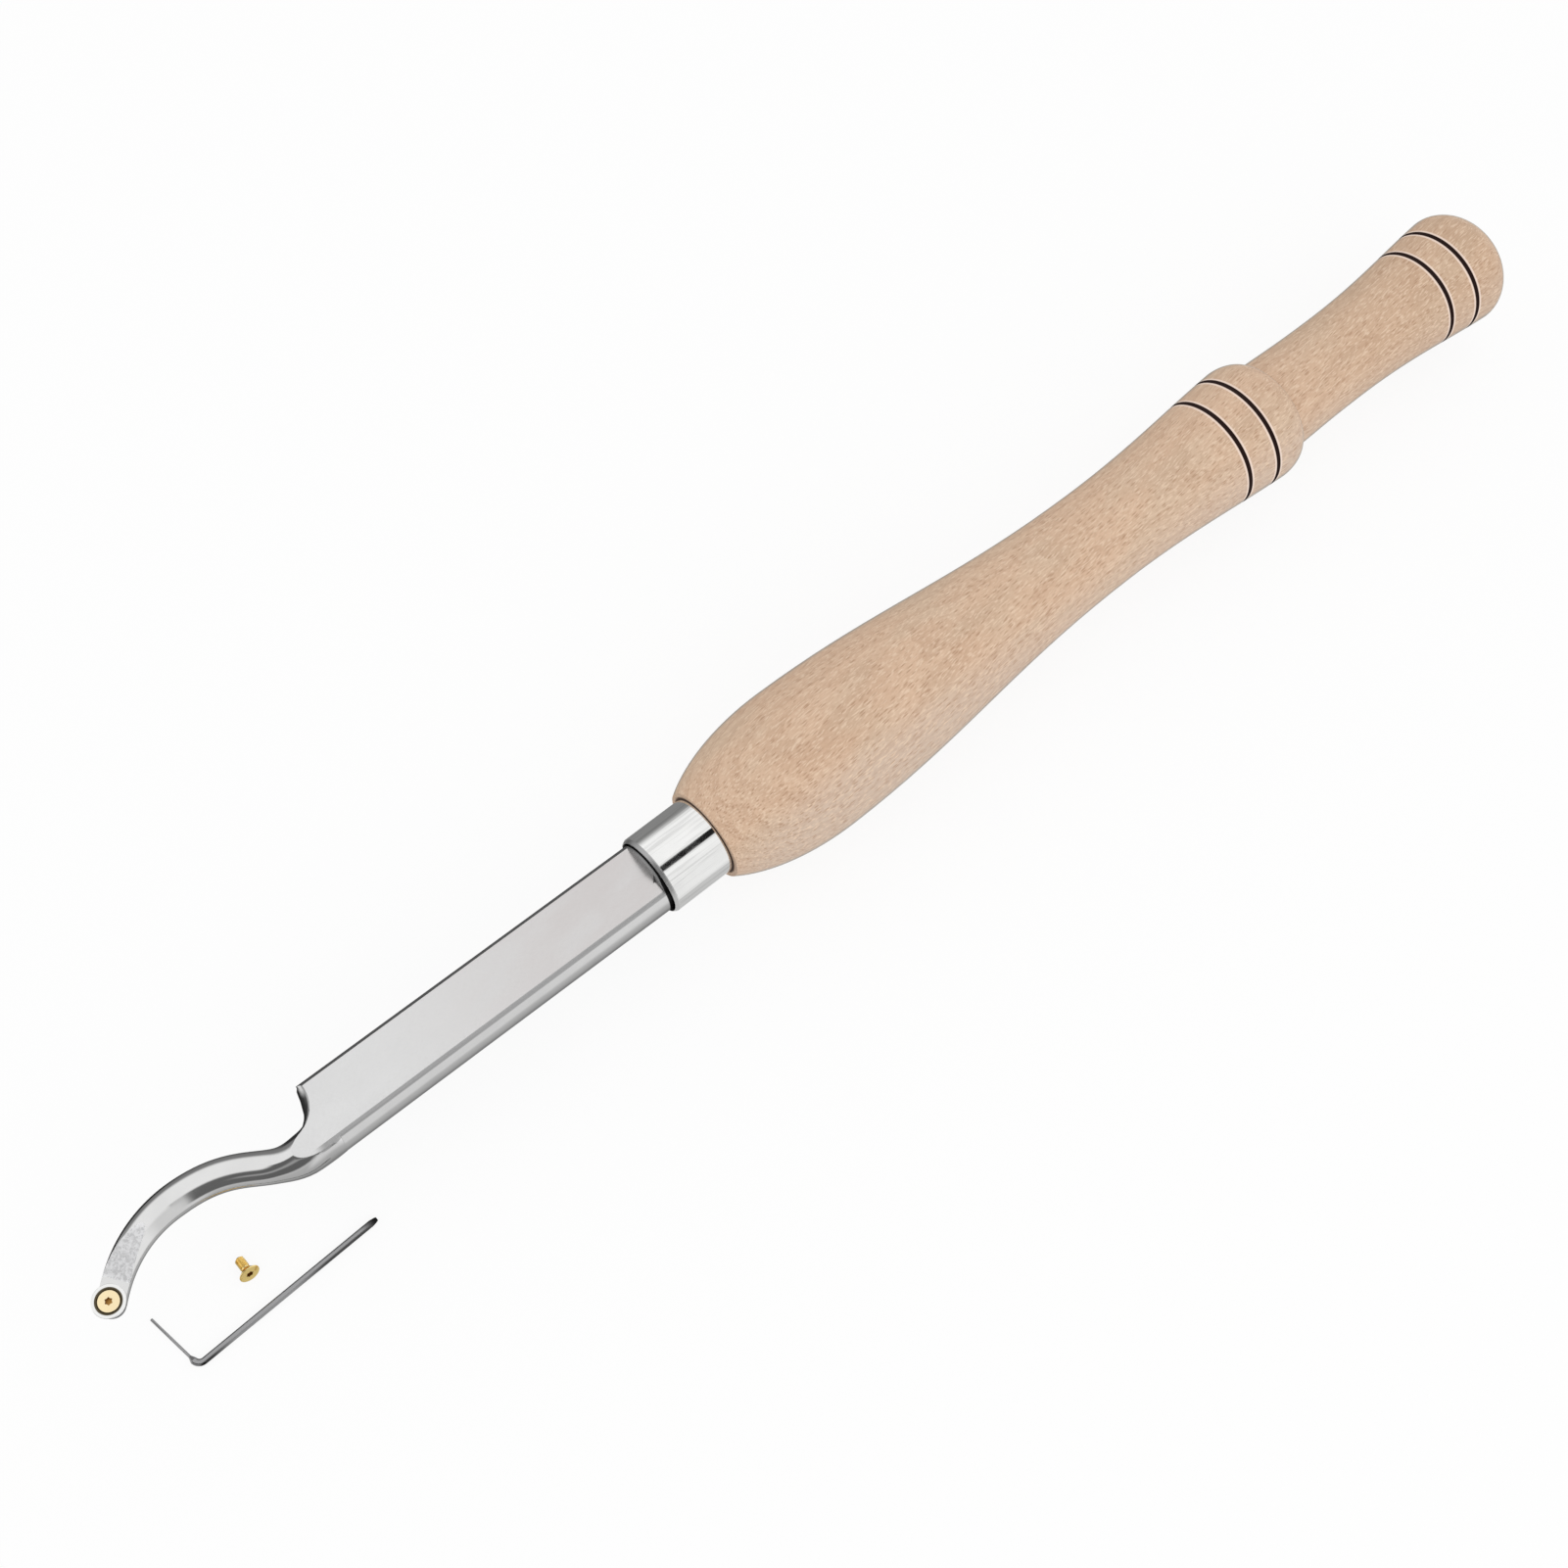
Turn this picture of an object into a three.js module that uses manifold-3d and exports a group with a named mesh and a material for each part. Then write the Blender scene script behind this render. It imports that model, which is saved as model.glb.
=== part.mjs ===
import * as THREE from 'three';
import { mergeVertices } from 'three/addons/utils/BufferGeometryUtils.js';
import Module from 'manifold-3d';

// Carbide turning tool: a turned beech handle, a steel ferrule, a flatted round bar that ends in a
// swan neck, and a round carbide insert held by a small countersunk screw. A spare screw and the
// L-shaped key lie beside the neck. Millimetres and degrees. While the pieces are made, +X runs
// along the handle towards its butt, x = 0 is the wood face behind the ferrule, and z = 0 is the
// handle's axis. At the end the whole set is moved so that it stands on z = 0.

// Handle
const handleLength = 240.4;
const faceDiameter = 21.2;
const bulbDiameter = 34.2;
const bulbAt = 27.5;
const waistDiameter = 23.3;
const waistAt = 114;
const collarDiameter = 29;
const collarAt = 161.2;
const shoulderLength = 6;
const shoulderDiameter = 22.6;
const gripDiameter = 21.6;
const gripAt = 190;
const buttDiameter = 27.7;
const buttAt = 231.5;
const grooveWidth = 1;
const grooveDepth = 0.5;
const collarGrooveInset = 4.4;
const collarGroovePitch = 8.3;
const buttGrooveInset = 6.2;
const buttGroovePitch = 7.9;
const tenonLength = 9;

// Ferrule
const ferruleWall = 0.8;
const ferruleLength = 14.6;
const ferruleBevelLength = 0.9;
const ferruleBevelDepth = 0.35;

// Bar and tang
const barDiameter = 16;
const flatThickness = 10;
const roundLength = 0.8;
const flatLength = 79.8;
const barLean = 0.75;
const tangDiameter = 10;
const tangLength = 62;

// Swan neck
const neckReach = 51.3;
const neckDiameter = 6.8;
const neckRootDiameter = 8.3;
const neckRootAt = 6;
const neckCrestAt = 31.5;
const neckCrestOffset = 4.35;
const tipDiameter = 5.5;
const tipSwing = 4.9;
const tipAngle = 48;
const roundedAt = 15;

// Insert seat
const seatAngle = 36;
const seatHeight = 1;
const seatLength = 4.4;
const reliefLength = 12;

// Carbide insert
const insertDiameter = 6.5;
const insertThickness = 2;
const insertRelief = 11;
const insertSink = 5;
const insertSinkDepth = 1.3;
const insertBore = 2.8;

// Screws
const screwHead = 4.1;
const screwHeadRim = 0.25;
const screwHeadHeight = 1.3;
const screwThread = 2.2;
const screwLength = 4.4;
const screwTipChamfer = 0.3;
const screwInset = 0.1;
const socketDiameter = 2;
const socketValley = 1.45;
const socketDepth = 0.8;

// Key
const keyFlats = 1.3;
const keyLong = 43.1;
const keyShort = 13.3;
const keyBend = 97;
const keyBendRadius = 1.6;
const keyCornerAhead = 46.1;
const keyCornerBeside = 18.75;
const keyTurn = 1.6;

// Places beside the tool
const spareAhead = 28.5;
const spareBeside = 11;

// Fit
const clearance = 0.3;
const overrun = 1;

// Fineness of the round faces
const roundSegments = 36;
const smallSegments = 24;
const curveSteps = 6;
const neckSteps = 12;
const scoopSteps = 6;
const keySteps = 48;
const keySides = 6;
const socketLobes = 6;

const wasm = await Module();
wasm.setup();

function solid(geometry) {
  const bare = geometry.clone();
  bare.deleteAttribute('normal');
  bare.deleteAttribute('uv');
  const merged = mergeVertices(bare);
  return new wasm.Manifold(new wasm.Mesh({
    numProp: 3,
    vertProperties: new Float32Array(merged.attributes.position.array),
    triVerts: new Uint32Array(merged.index.array),
  }));
}

function geometryOf(manifold) {
  const mesh = manifold.getMesh();
  const geometry = new THREE.BufferGeometry();
  geometry.setAttribute('position', new THREE.BufferAttribute(mesh.vertProperties, 3));
  geometry.setIndex(new THREE.BufferAttribute(mesh.triVerts, 1));
  geometry.computeVertexNormals();
  return geometry;
}

// A solid turned about the X axis from a closed outline of points (x along the axis, y the radius).
function turned(outline, segments) {
  const points = outline.map((point) => new THREE.Vector2(point.y, point.x));
  const geometry = new THREE.LatheGeometry(points, segments);
  return geometry.rotateZ(-Math.PI / 2);
}

// The same about the Z axis, with points (radius, height).
function turnedUpright(outline, segments) {
  const points = outline.map(([radius, height]) => new THREE.Vector2(radius, height));
  return new THREE.LatheGeometry(points, segments).rotateX(Math.PI / 2);
}

function rod(diameter, from, to, segments) {
  const radius = diameter / 2;
  return turned([
    new THREE.Vector2(from, 0),
    new THREE.Vector2(from, radius),
    new THREE.Vector2(to, radius),
    new THREE.Vector2(to, 0),
  ], segments);
}

// Handle

const ferruleBore = barDiameter + 2 * clearance;

function spread(start, end, share) {
  return start + (end - start) * share;
}

// The turned outline, from the wood face to the middle of the butt.
function handleOutline() {
  const faceRiseShares = [0.2, 0.55, 0.45];
  const bulbFallShares = [0.38, 0.42];
  const waistRiseShares = [0.42, 0.3, 0.72];
  const gripFallShares = [0.35, 0.5];
  const gripRiseShares = [0.45, 0.3, 0.7];
  const roundShare = 0.55;
  const buttCornerShares = [0.42, 0.72];
  const face = faceDiameter / 2;
  const bulb = bulbDiameter / 2;
  const waist = waistDiameter / 2;
  const collar = collarDiameter / 2;
  const shoulder = shoulderDiameter / 2;
  const grip = gripDiameter / 2;
  const butt = buttDiameter / 2;
  const stepAt = collarAt + shoulderLength;
  const path = new THREE.Path();
  path.moveTo(0, face);
  path.bezierCurveTo(
    bulbAt * faceRiseShares[0], spread(face, bulb, faceRiseShares[1]),
    bulbAt * (1 - faceRiseShares[2]), bulb,
    bulbAt, bulb,
  );
  path.bezierCurveTo(
    spread(bulbAt, waistAt, bulbFallShares[0]), bulb,
    spread(waistAt, bulbAt, bulbFallShares[1]), waist,
    waistAt, waist,
  );
  path.bezierCurveTo(
    spread(waistAt, collarAt, waistRiseShares[0]), waist,
    spread(collarAt, waistAt, waistRiseShares[1]), spread(waist, collar, waistRiseShares[2]),
    collarAt, collar,
  );
  path.bezierCurveTo(
    spread(collarAt, stepAt, roundShare), collar,
    stepAt, spread(shoulder, collar, roundShare),
    stepAt, shoulder,
  );
  path.bezierCurveTo(
    spread(stepAt, gripAt, gripFallShares[0]), spread(shoulder, grip, gripFallShares[0]),
    spread(gripAt, stepAt, gripFallShares[1]), grip,
    gripAt, grip,
  );
  path.bezierCurveTo(
    spread(gripAt, buttAt, gripRiseShares[0]), grip,
    spread(buttAt, gripAt, gripRiseShares[1]), spread(grip, butt, gripRiseShares[2]),
    buttAt, butt,
  );
  path.bezierCurveTo(
    spread(buttAt, handleLength, buttCornerShares[0]), butt,
    handleLength, butt * buttCornerShares[1],
    handleLength, 0,
  );
  return path.getPoints(curveSteps);
}

function radiusAt(outline, x) {
  const next = outline.findIndex((point) => point.x >= x);
  const before = outline[next - 1];
  const after = outline[next];
  return spread(before.y, after.y, (x - before.x) / (after.x - before.x));
}

function grooveRing(outline, x) {
  const surface = radiusAt(outline, x);
  const half = grooveWidth / 2;
  return solid(turned([
    new THREE.Vector2(x - half, surface + grooveDepth),
    new THREE.Vector2(x + half, surface + grooveDepth),
    new THREE.Vector2(x + half, surface),
    new THREE.Vector2(x, surface - grooveDepth),
    new THREE.Vector2(x - half, surface),
    new THREE.Vector2(x - half, surface + grooveDepth),
  ], roundSegments));
}

function makeHandle() {
  const outline = handleOutline();
  const tenon = ferruleBore / 2 - clearance;
  const profile = [
    new THREE.Vector2(-tenonLength, 0),
    new THREE.Vector2(-tenonLength, tenon),
    new THREE.Vector2(0, tenon),
    ...outline,
  ];
  let wood = solid(turned(profile, roundSegments));
  const bore = tangDiameter + 2 * clearance;
  const boreEnd = tangLength + clearance - tenonLength;
  wood = wood.subtract(solid(rod(bore, -tenonLength - overrun, boreEnd, smallSegments)));
  const grooves = [
    collarAt - collarGrooveInset,
    collarAt - collarGrooveInset - collarGroovePitch,
    buttAt - buttGrooveInset,
    buttAt - buttGrooveInset - buttGroovePitch,
  ];
  for (const x of grooves) {
    wood = wood.subtract(grooveRing(outline, x));
  }
  return geometryOf(wood);
}

// Ferrule

const ferruleBack = -clearance;
const ferruleFront = ferruleBack - ferruleLength;

function makeFerrule() {
  const inner = ferruleBore / 2;
  const outer = inner + ferruleWall;
  return turned([
    new THREE.Vector2(ferruleFront, inner),
    new THREE.Vector2(ferruleFront, outer - ferruleBevelDepth),
    new THREE.Vector2(ferruleFront + ferruleBevelLength, outer),
    new THREE.Vector2(ferruleBack, outer),
    new THREE.Vector2(ferruleBack, inner),
    new THREE.Vector2(ferruleFront, inner),
  ], roundSegments);
}

// Bar, tang and neck: one piece of steel

const tipSide = -tipSwing;
const flatsBack = ferruleFront - roundLength;
const barFront = flatsBack - flatLength;
const tipX = barFront - neckReach;

// The line down the middle of the neck, as distance ahead of the shoulder and offset to the side.
function neckCurves() {
  const riseShares = [0.38, 0.58];
  const fallShares = [0.4, 0.4];
  const rootOffset = neckRootDiameter / 2 - barDiameter / 2;
  const riseSpan = neckCrestAt - neckRootAt;
  const fallSpan = neckReach - neckCrestAt;
  const lean = THREE.MathUtils.degToRad(tipAngle);
  const rise = new THREE.CubicBezierCurve(
    new THREE.Vector2(neckRootAt, rootOffset),
    new THREE.Vector2(neckRootAt + riseSpan * riseShares[0], rootOffset),
    new THREE.Vector2(neckCrestAt - riseSpan * riseShares[1], neckCrestOffset),
    new THREE.Vector2(neckCrestAt, neckCrestOffset),
  );
  const fall = new THREE.CubicBezierCurve(
    new THREE.Vector2(neckCrestAt, neckCrestOffset),
    new THREE.Vector2(neckCrestAt + fallSpan * fallShares[0], neckCrestOffset),
    new THREE.Vector2(
      neckReach - fallSpan * fallShares[1] * Math.cos(lean),
      tipSide + fallSpan * fallShares[1] * Math.sin(lean),
    ),
    new THREE.Vector2(neckReach, tipSide),
  );
  return [rise, fall];
}

function smooth(share) {
  const inside = THREE.MathUtils.clamp(share, 0, 1);
  return inside * inside * (3 - 2 * inside);
}

// Each station holds the middle, the direction, half the width and half the height of an oval. The
// first is the round bar itself, and the next ones follow the hollow that is cut into its end. The
// ovals stay tall until the neck is round, and the flats are cut from them afterwards.
function neckStations() {
  const bar = barDiameter / 2;
  const stations = [];
  const place = (ahead, side, direction, width) => {
    const height = spread(bar, Math.min(width, neckDiameter / 2), smooth(ahead / roundedAt));
    stations.push({ ahead, side, direction, width, height });
  };
  place(-flatLength, 0, 0, bar);
  const hollow = barDiameter - neckRootDiameter;
  for (let step = 0; step < scoopSteps; step += 1) {
    const turn = (step / scoopSteps) * (Math.PI / 2);
    const cut = hollow * Math.sin(turn);
    place(neckRootAt * (1 - Math.cos(turn)), -cut / 2, 0, bar - cut / 2);
  }
  const [rise, fall] = neckCurves();
  const flareShare = 0.3;
  for (let step = 0; step < neckSteps; step += 1) {
    const share = step / neckSteps;
    const point = rise.getPoint(share);
    const tangent = rise.getTangent(share);
    const width = spread(neckRootDiameter, neckDiameter, smooth(share / flareShare)) / 2;
    place(point.x, point.y, Math.atan2(tangent.y, tangent.x), width);
  }
  for (let step = 0; step <= neckSteps; step += 1) {
    const share = step / neckSteps;
    const point = fall.getPoint(share);
    const tangent = fall.getTangent(share);
    const width = spread(neckDiameter, tipDiameter, share) / 2;
    place(point.x, point.y, Math.atan2(tangent.y, tangent.x), width);
  }
  return stations;
}

function neckRing(station) {
  const ring = [];
  for (let side = 0; side < roundSegments; side += 1) {
    const turn = (side / roundSegments) * 2 * Math.PI;
    const across = Math.cos(turn) * station.width;
    ring.push([
      barFront - station.ahead + across * Math.sin(station.direction),
      station.side + across * Math.cos(station.direction),
      Math.sin(turn) * station.height,
    ]);
  }
  return ring;
}

// A skin over rings that all have the same number of points, closed by a fan at each end.
function lofted(rings) {
  const count = rings[0].length;
  const vertices = rings.flat();
  const indices = [];
  for (let row = 0; row + 1 < rings.length; row += 1) {
    for (let side = 0; side < count; side += 1) {
      const next = (side + 1) % count;
      const a = row * count + side;
      const b = row * count + next;
      indices.push(a, a + count, b, b, a + count, b + count);
    }
  }
  const middle = (ring) => [0, 1, 2].map((axis) => (
    ring.reduce((sum, point) => sum + point[axis], 0) / count
  ));
  const first = vertices.push(middle(rings[0])) - 1;
  const last = vertices.push(middle(rings[rings.length - 1])) - 1;
  const lastRow = (rings.length - 1) * count;
  for (let side = 0; side < count; side += 1) {
    const next = (side + 1) % count;
    indices.push(first, side, next, last, lastRow + next, lastRow + side);
  }
  const geometry = new THREE.BufferGeometry();
  geometry.setAttribute('position', new THREE.Float32BufferAttribute(vertices.flat(), 3));
  geometry.setIndex(indices);
  return geometry;
}

// The round nose under the insert.
function makeNose() {
  const radius = tipDiameter / 2;
  const footShare = 0.6;
  return turnedUpright([
    [0, -radius],
    [radius * footShare, -radius],
    [radius, seatHeight],
    [radius, neckDiameter / 2],
    [0, neckDiameter / 2],
  ], smallSegments).translate(tipX, tipSide, 0);
}

// What is ground away above the insert's seat and up the ramp behind it.
function seatCut() {
  const top = flatThickness;
  const shape = new THREE.Shape();
  shape.moveTo(-insertDiameter, seatHeight);
  shape.lineTo(seatLength, seatHeight);
  shape.lineTo(seatLength + reliefLength, neckDiameter / 2);
  shape.lineTo(seatLength + reliefLength, top);
  shape.lineTo(-insertDiameter, top);
  shape.closePath();
  const across = 2 * barDiameter;
  const geometry = new THREE.ExtrudeGeometry(shape, { depth: across, bevelEnabled: false });
  geometry.translate(0, 0, -across / 2);
  geometry.rotateX(Math.PI / 2);
  geometry.rotateZ(THREE.MathUtils.degToRad(seatAngle));
  return geometry.translate(tipX, tipSide, 0);
}

function screwHole() {
  const radius = screwThread / 2 + clearance;
  return turnedUpright([
    [0, -neckDiameter],
    [radius, -neckDiameter],
    [radius, neckDiameter],
    [0, neckDiameter],
  ], smallSegments).translate(tipX, tipSide, 0);
}

// Everything ahead of the ferrule leans a little to the side, about the ferrule's front.
function leaned(geometry) {
  geometry.translate(-ferruleFront, 0, 0);
  geometry.rotateZ(THREE.MathUtils.degToRad(-barLean));
  return geometry.translate(ferruleFront, 0, 0);
}

// The slab between the bar's two flats.
function flatSlab() {
  const from = tipX - insertDiameter;
  const slab = new THREE.BoxGeometry(flatsBack - from, 2 * barDiameter, flatThickness);
  return slab.translate((from + flatsBack) / 2, 0, 0);
}

function makeShaft() {
  const inFerrule = -tenonLength - clearance;
  const round = solid(rod(barDiameter, flatsBack, ferruleFront, roundSegments));
  let bar = solid(lofted(neckStations().map(neckRing))).intersect(solid(flatSlab()));
  bar = bar.add(solid(makeNose())).subtract(solid(seatCut())).subtract(solid(screwHole()));
  const ahead = bar.add(round);
  const leanedAhead = solid(leaned(geometryOf(ahead)));
  const overlap = roundLength / 2;
  const seated = solid(rod(barDiameter, ferruleFront - overlap, inFerrule, roundSegments));
  const tangEnd = tangLength - tenonLength;
  const tang = solid(rod(tangDiameter, inFerrule - overrun, tangEnd, smallSegments));
  return geometryOf(leanedAhead.add(seated).add(tang));
}

// Carbide insert and screws, made round their own axis with the seat at height zero

function makeInsert() {
  const top = insertThickness;
  const radius = insertDiameter / 2;
  const foot = radius - insertThickness * Math.tan(THREE.MathUtils.degToRad(insertRelief));
  const bore = insertBore / 2;
  return turnedUpright([
    [bore, 0],
    [foot, 0],
    [radius, top],
    [insertSink / 2, top],
    [bore, top - insertSinkDepth],
    [bore, 0],
  ], smallSegments);
}

function socketCut() {
  const shape = new THREE.Shape();
  const points = 2 * socketLobes;
  for (let step = 0; step < points; step += 1) {
    const radius = (step % 2 === 0 ? socketDiameter : socketValley) / 2;
    const turn = (step / points) * 2 * Math.PI;
    const x = radius * Math.cos(turn);
    const y = radius * Math.sin(turn);
    if (step === 0) {
      shape.moveTo(x, y);
    } else {
      shape.lineTo(x, y);
    }
  }
  shape.closePath();
  const depth = socketDepth + overrun;
  return new THREE.ExtrudeGeometry(shape, { depth, bevelEnabled: false });
}

// A screw with its head's top at height zero and its shank pointing down.
function makeScrew() {
  const head = screwHead / 2;
  const thread = screwThread / 2;
  const body = solid(turnedUpright([
    [0, -screwLength],
    [thread - screwTipChamfer, -screwLength],
    [thread, -screwLength + screwTipChamfer],
    [thread, -screwHeadHeight],
    [head, -screwHeadRim],
    [head, 0],
    [0, 0],
  ], smallSegments));
  return geometryOf(body.subtract(solid(socketCut().translate(0, 0, -socketDepth))));
}

// Key

function makeKey() {
  const radius = keyFlats / 2 / Math.cos(Math.PI / keySides);
  const shape = new THREE.Shape();
  for (let side = 0; side < keySides; side += 1) {
    const turn = (side + 1 / 2) / keySides * 2 * Math.PI;
    const x = radius * Math.cos(turn);
    const y = radius * Math.sin(turn);
    if (side === 0) {
      shape.moveTo(x, y);
    } else {
      shape.lineTo(x, y);
    }
  }
  shape.closePath();
  const bend = THREE.MathUtils.degToRad(keyBend);
  const inset = keyBendRadius / Math.tan(bend / 2);
  const along = new THREE.Vector3(1, 0, 0);
  const back = new THREE.Vector3(Math.cos(bend), Math.sin(bend), 0);
  const corner = new THREE.Vector3();
  const path = new THREE.CurvePath();
  const longIn = along.clone().multiplyScalar(inset);
  const shortIn = back.clone().multiplyScalar(inset);
  path.add(new THREE.LineCurve3(along.clone().multiplyScalar(keyLong), longIn));
  path.add(new THREE.QuadraticBezierCurve3(longIn, corner, shortIn));
  path.add(new THREE.LineCurve3(shortIn, back.clone().multiplyScalar(keyShort)));
  return new THREE.ExtrudeGeometry(shape, { steps: keySteps, extrudePath: path });
}

// Materials

const beech = new THREE.MeshStandardMaterial({ color: 0xd6b596, roughness: 0.42 });
const polished = new THREE.MeshStandardMaterial({ color: 0xc9c9c6, roughness: 0.16, metalness: 1 });
const ground = new THREE.MeshStandardMaterial({ color: 0xbdbdbd, roughness: 0.3, metalness: 1 });
const carbide = new THREE.MeshStandardMaterial({ color: 0xa9a9ab, roughness: 0.3, metalness: 1 });
const gilt = new THREE.MeshStandardMaterial({ color: 0xe0b060, roughness: 0.25, metalness: 1 });
const darkSteel = new THREE.MeshStandardMaterial({ color: 0x55565a, roughness: 0.35, metalness: 1 });

function named(name, geometry, material) {
  const mesh = new THREE.Mesh(geometry, material);
  mesh.name = name;
  return mesh;
}

// The set

const tool = new THREE.Group();
tool.add(named('handle', makeHandle(), beech));
tool.add(named('ferrule', makeFerrule(), polished));
tool.add(named('shaft', makeShaft(), ground));

const leaning = new THREE.Group();
leaning.position.x = ferruleFront;
leaning.rotation.z = THREE.MathUtils.degToRad(-barLean);
tool.add(leaning);

const tip = new THREE.Group();
tip.position.set(tipX - ferruleFront, tipSide, seatHeight + clearance);
leaning.add(tip);
tip.add(named('carbide_insert', makeInsert(), carbide));
const insertScrew = named('insert_screw', makeScrew(), gilt);
insertScrew.position.z = insertThickness - screwInset;
tip.add(insertScrew);

// The spare screw lies on the edge of its head and on its tip, with its head towards -Y.
const floor = -bulbDiameter / 2;
const sparePitch = Math.atan2(
  (screwHead - screwThread) / 2,
  screwLength - screwTipChamfer - screwHeadRim,
);
const spare = named('spare_screw', makeScrew(), gilt);
spare.rotation.x = Math.PI / 2 - sparePitch;
spare.position.set(
  barFront - spareAhead,
  -spareBeside,
  floor + (screwHead / 2) * Math.cos(sparePitch) + screwHeadRim * Math.sin(sparePitch),
);
tool.add(spare);

const key = named('torx_key', makeKey(), darkSteel);
key.position.set(barFront - keyCornerAhead, -keyCornerBeside, floor + keyFlats / 2);
key.rotation.z = THREE.MathUtils.degToRad(keyTurn);
tool.add(key);

// The origin is under the middle of the whole set, on the surface that it lies on.
const set = new THREE.Group();
set.add(tool);
set.updateMatrixWorld(true);
const box = new THREE.Box3().setFromObject(set, true);
const middle = box.getCenter(new THREE.Vector3());
tool.position.set(-middle.x, -middle.y, -box.min.z);

export default set;
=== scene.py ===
"""A carbide turning tool in a plain studio: a turned beech handle, a steel ferrule, a swan-necked
bar with a round insert and its screw, and the spare screw and key that lie beside it."""

import math

import bmesh
import bpy
from bpy.props import FloatProperty, FloatVectorProperty, PointerProperty
from mathutils import Matrix, Vector


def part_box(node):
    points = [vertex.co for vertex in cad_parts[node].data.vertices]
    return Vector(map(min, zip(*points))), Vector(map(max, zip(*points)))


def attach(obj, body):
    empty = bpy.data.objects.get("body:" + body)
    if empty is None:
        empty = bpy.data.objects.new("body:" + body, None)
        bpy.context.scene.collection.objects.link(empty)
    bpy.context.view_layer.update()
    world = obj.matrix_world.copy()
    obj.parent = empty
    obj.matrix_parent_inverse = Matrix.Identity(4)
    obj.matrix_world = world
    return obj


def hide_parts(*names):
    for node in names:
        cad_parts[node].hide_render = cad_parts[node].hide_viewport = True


bl_info = {
    "name": "Carbide Turning Tool",
    "version": (1, 0, 0),
    "blender": (4, 5, 0),
    "location": "View3D > Sidebar > Turning Tool",
    "description": "Builds the handle, ferrule, bar, insert, screws and key in a studio",
    "category": "Object",
}

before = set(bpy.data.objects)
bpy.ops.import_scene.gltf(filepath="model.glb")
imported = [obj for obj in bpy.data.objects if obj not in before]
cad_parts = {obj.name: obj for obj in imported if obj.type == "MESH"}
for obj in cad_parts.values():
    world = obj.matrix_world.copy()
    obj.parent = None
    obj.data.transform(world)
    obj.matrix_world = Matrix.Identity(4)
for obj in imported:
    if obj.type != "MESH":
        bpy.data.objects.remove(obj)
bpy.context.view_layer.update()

MM = 0.001
FULL_TURN = 2 * math.pi
# The step between rings that lie almost together, and the reach within which corners merge
HAIR = 0.01 * MM
MERGED = HAIR / 10

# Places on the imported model: the handle's axis runs along X, and the floor is at Z = 0
handle_low, handle_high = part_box("handle")
insert_low, insert_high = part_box("carbide_insert")
AXIS_Y = (handle_low.y + handle_high.y) / 2
AXIS_Z = (handle_low.z + handle_high.z) / 2
CLEARANCE = 0.3 * MM
FACE_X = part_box("ferrule")[1].x + CLEARANCE
TIP = Vector(((insert_low.x + insert_high.x) / 2, (insert_low.y + insert_high.y) / 2, 0))
SEAT_Z = insert_low.z
SCREW_TOP_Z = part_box("insert_screw")[1].z

WHITE = (1.0, 1.0, 1.0, 1.0)
# Places in metres and the camera's turn in degrees
CAMERA_PLACE = (-0.16943, -0.12457, 0.45011)
CAMERA_TURN = (23.4614, -3.8629, -40.5312)
LAMP_PLACE = (-0.1, -0.95, 0.6)
LAMP_SIZE = 0.9
# Things in the white room that the steel mirrors, later ones in front: azimuth, half width,
# side softness, lowest, highest and their softness in degrees, and the brightness
MIRRORED_ZONES = (
    (-90, 105, 20, -120, -32, 14, 0.60),
    (-138, 47, 8, -120, -9, 8, 0.54),
    (-90, 15, 7, -34, 58, 12, 0.80),
    (76, 40, 12, -75, 15, 13, 0.25),
    (118, 30, 8, -70, -22, 7, 0.05),
    (-146, 50, 3, -7, 65, 7, 0.14),
    (-150, 24, 8, 30, 40, 5, 0.40),
    (-49, 13, 1.5, 58.5, 72, 1.5, 0.015),
)


def place(ahead, beside=0):
    """A point at the handle's height, from the wood face along its axis and beside it."""
    return Vector((FACE_X + ahead, AXIS_Y + beside, AXIS_Z))


# Sizes and colours that can be changed


def size(label, millimetres, text):
    return FloatProperty(
        name=label, description=text, default=millimetres * MM, min=0, precision=5,
        unit="LENGTH", subtype="DISTANCE",
    )


def angle(label, degrees, text):
    return FloatProperty(
        name=label, description=text, default=math.radians(degrees),
        unit="ROTATION", subtype="ANGLE",
    )


def colour(label, rgb, text):
    return FloatVectorProperty(
        name=label, description=text, default=(*rgb, 1), size=4, min=0, max=1, subtype="COLOR",
    )


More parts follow.
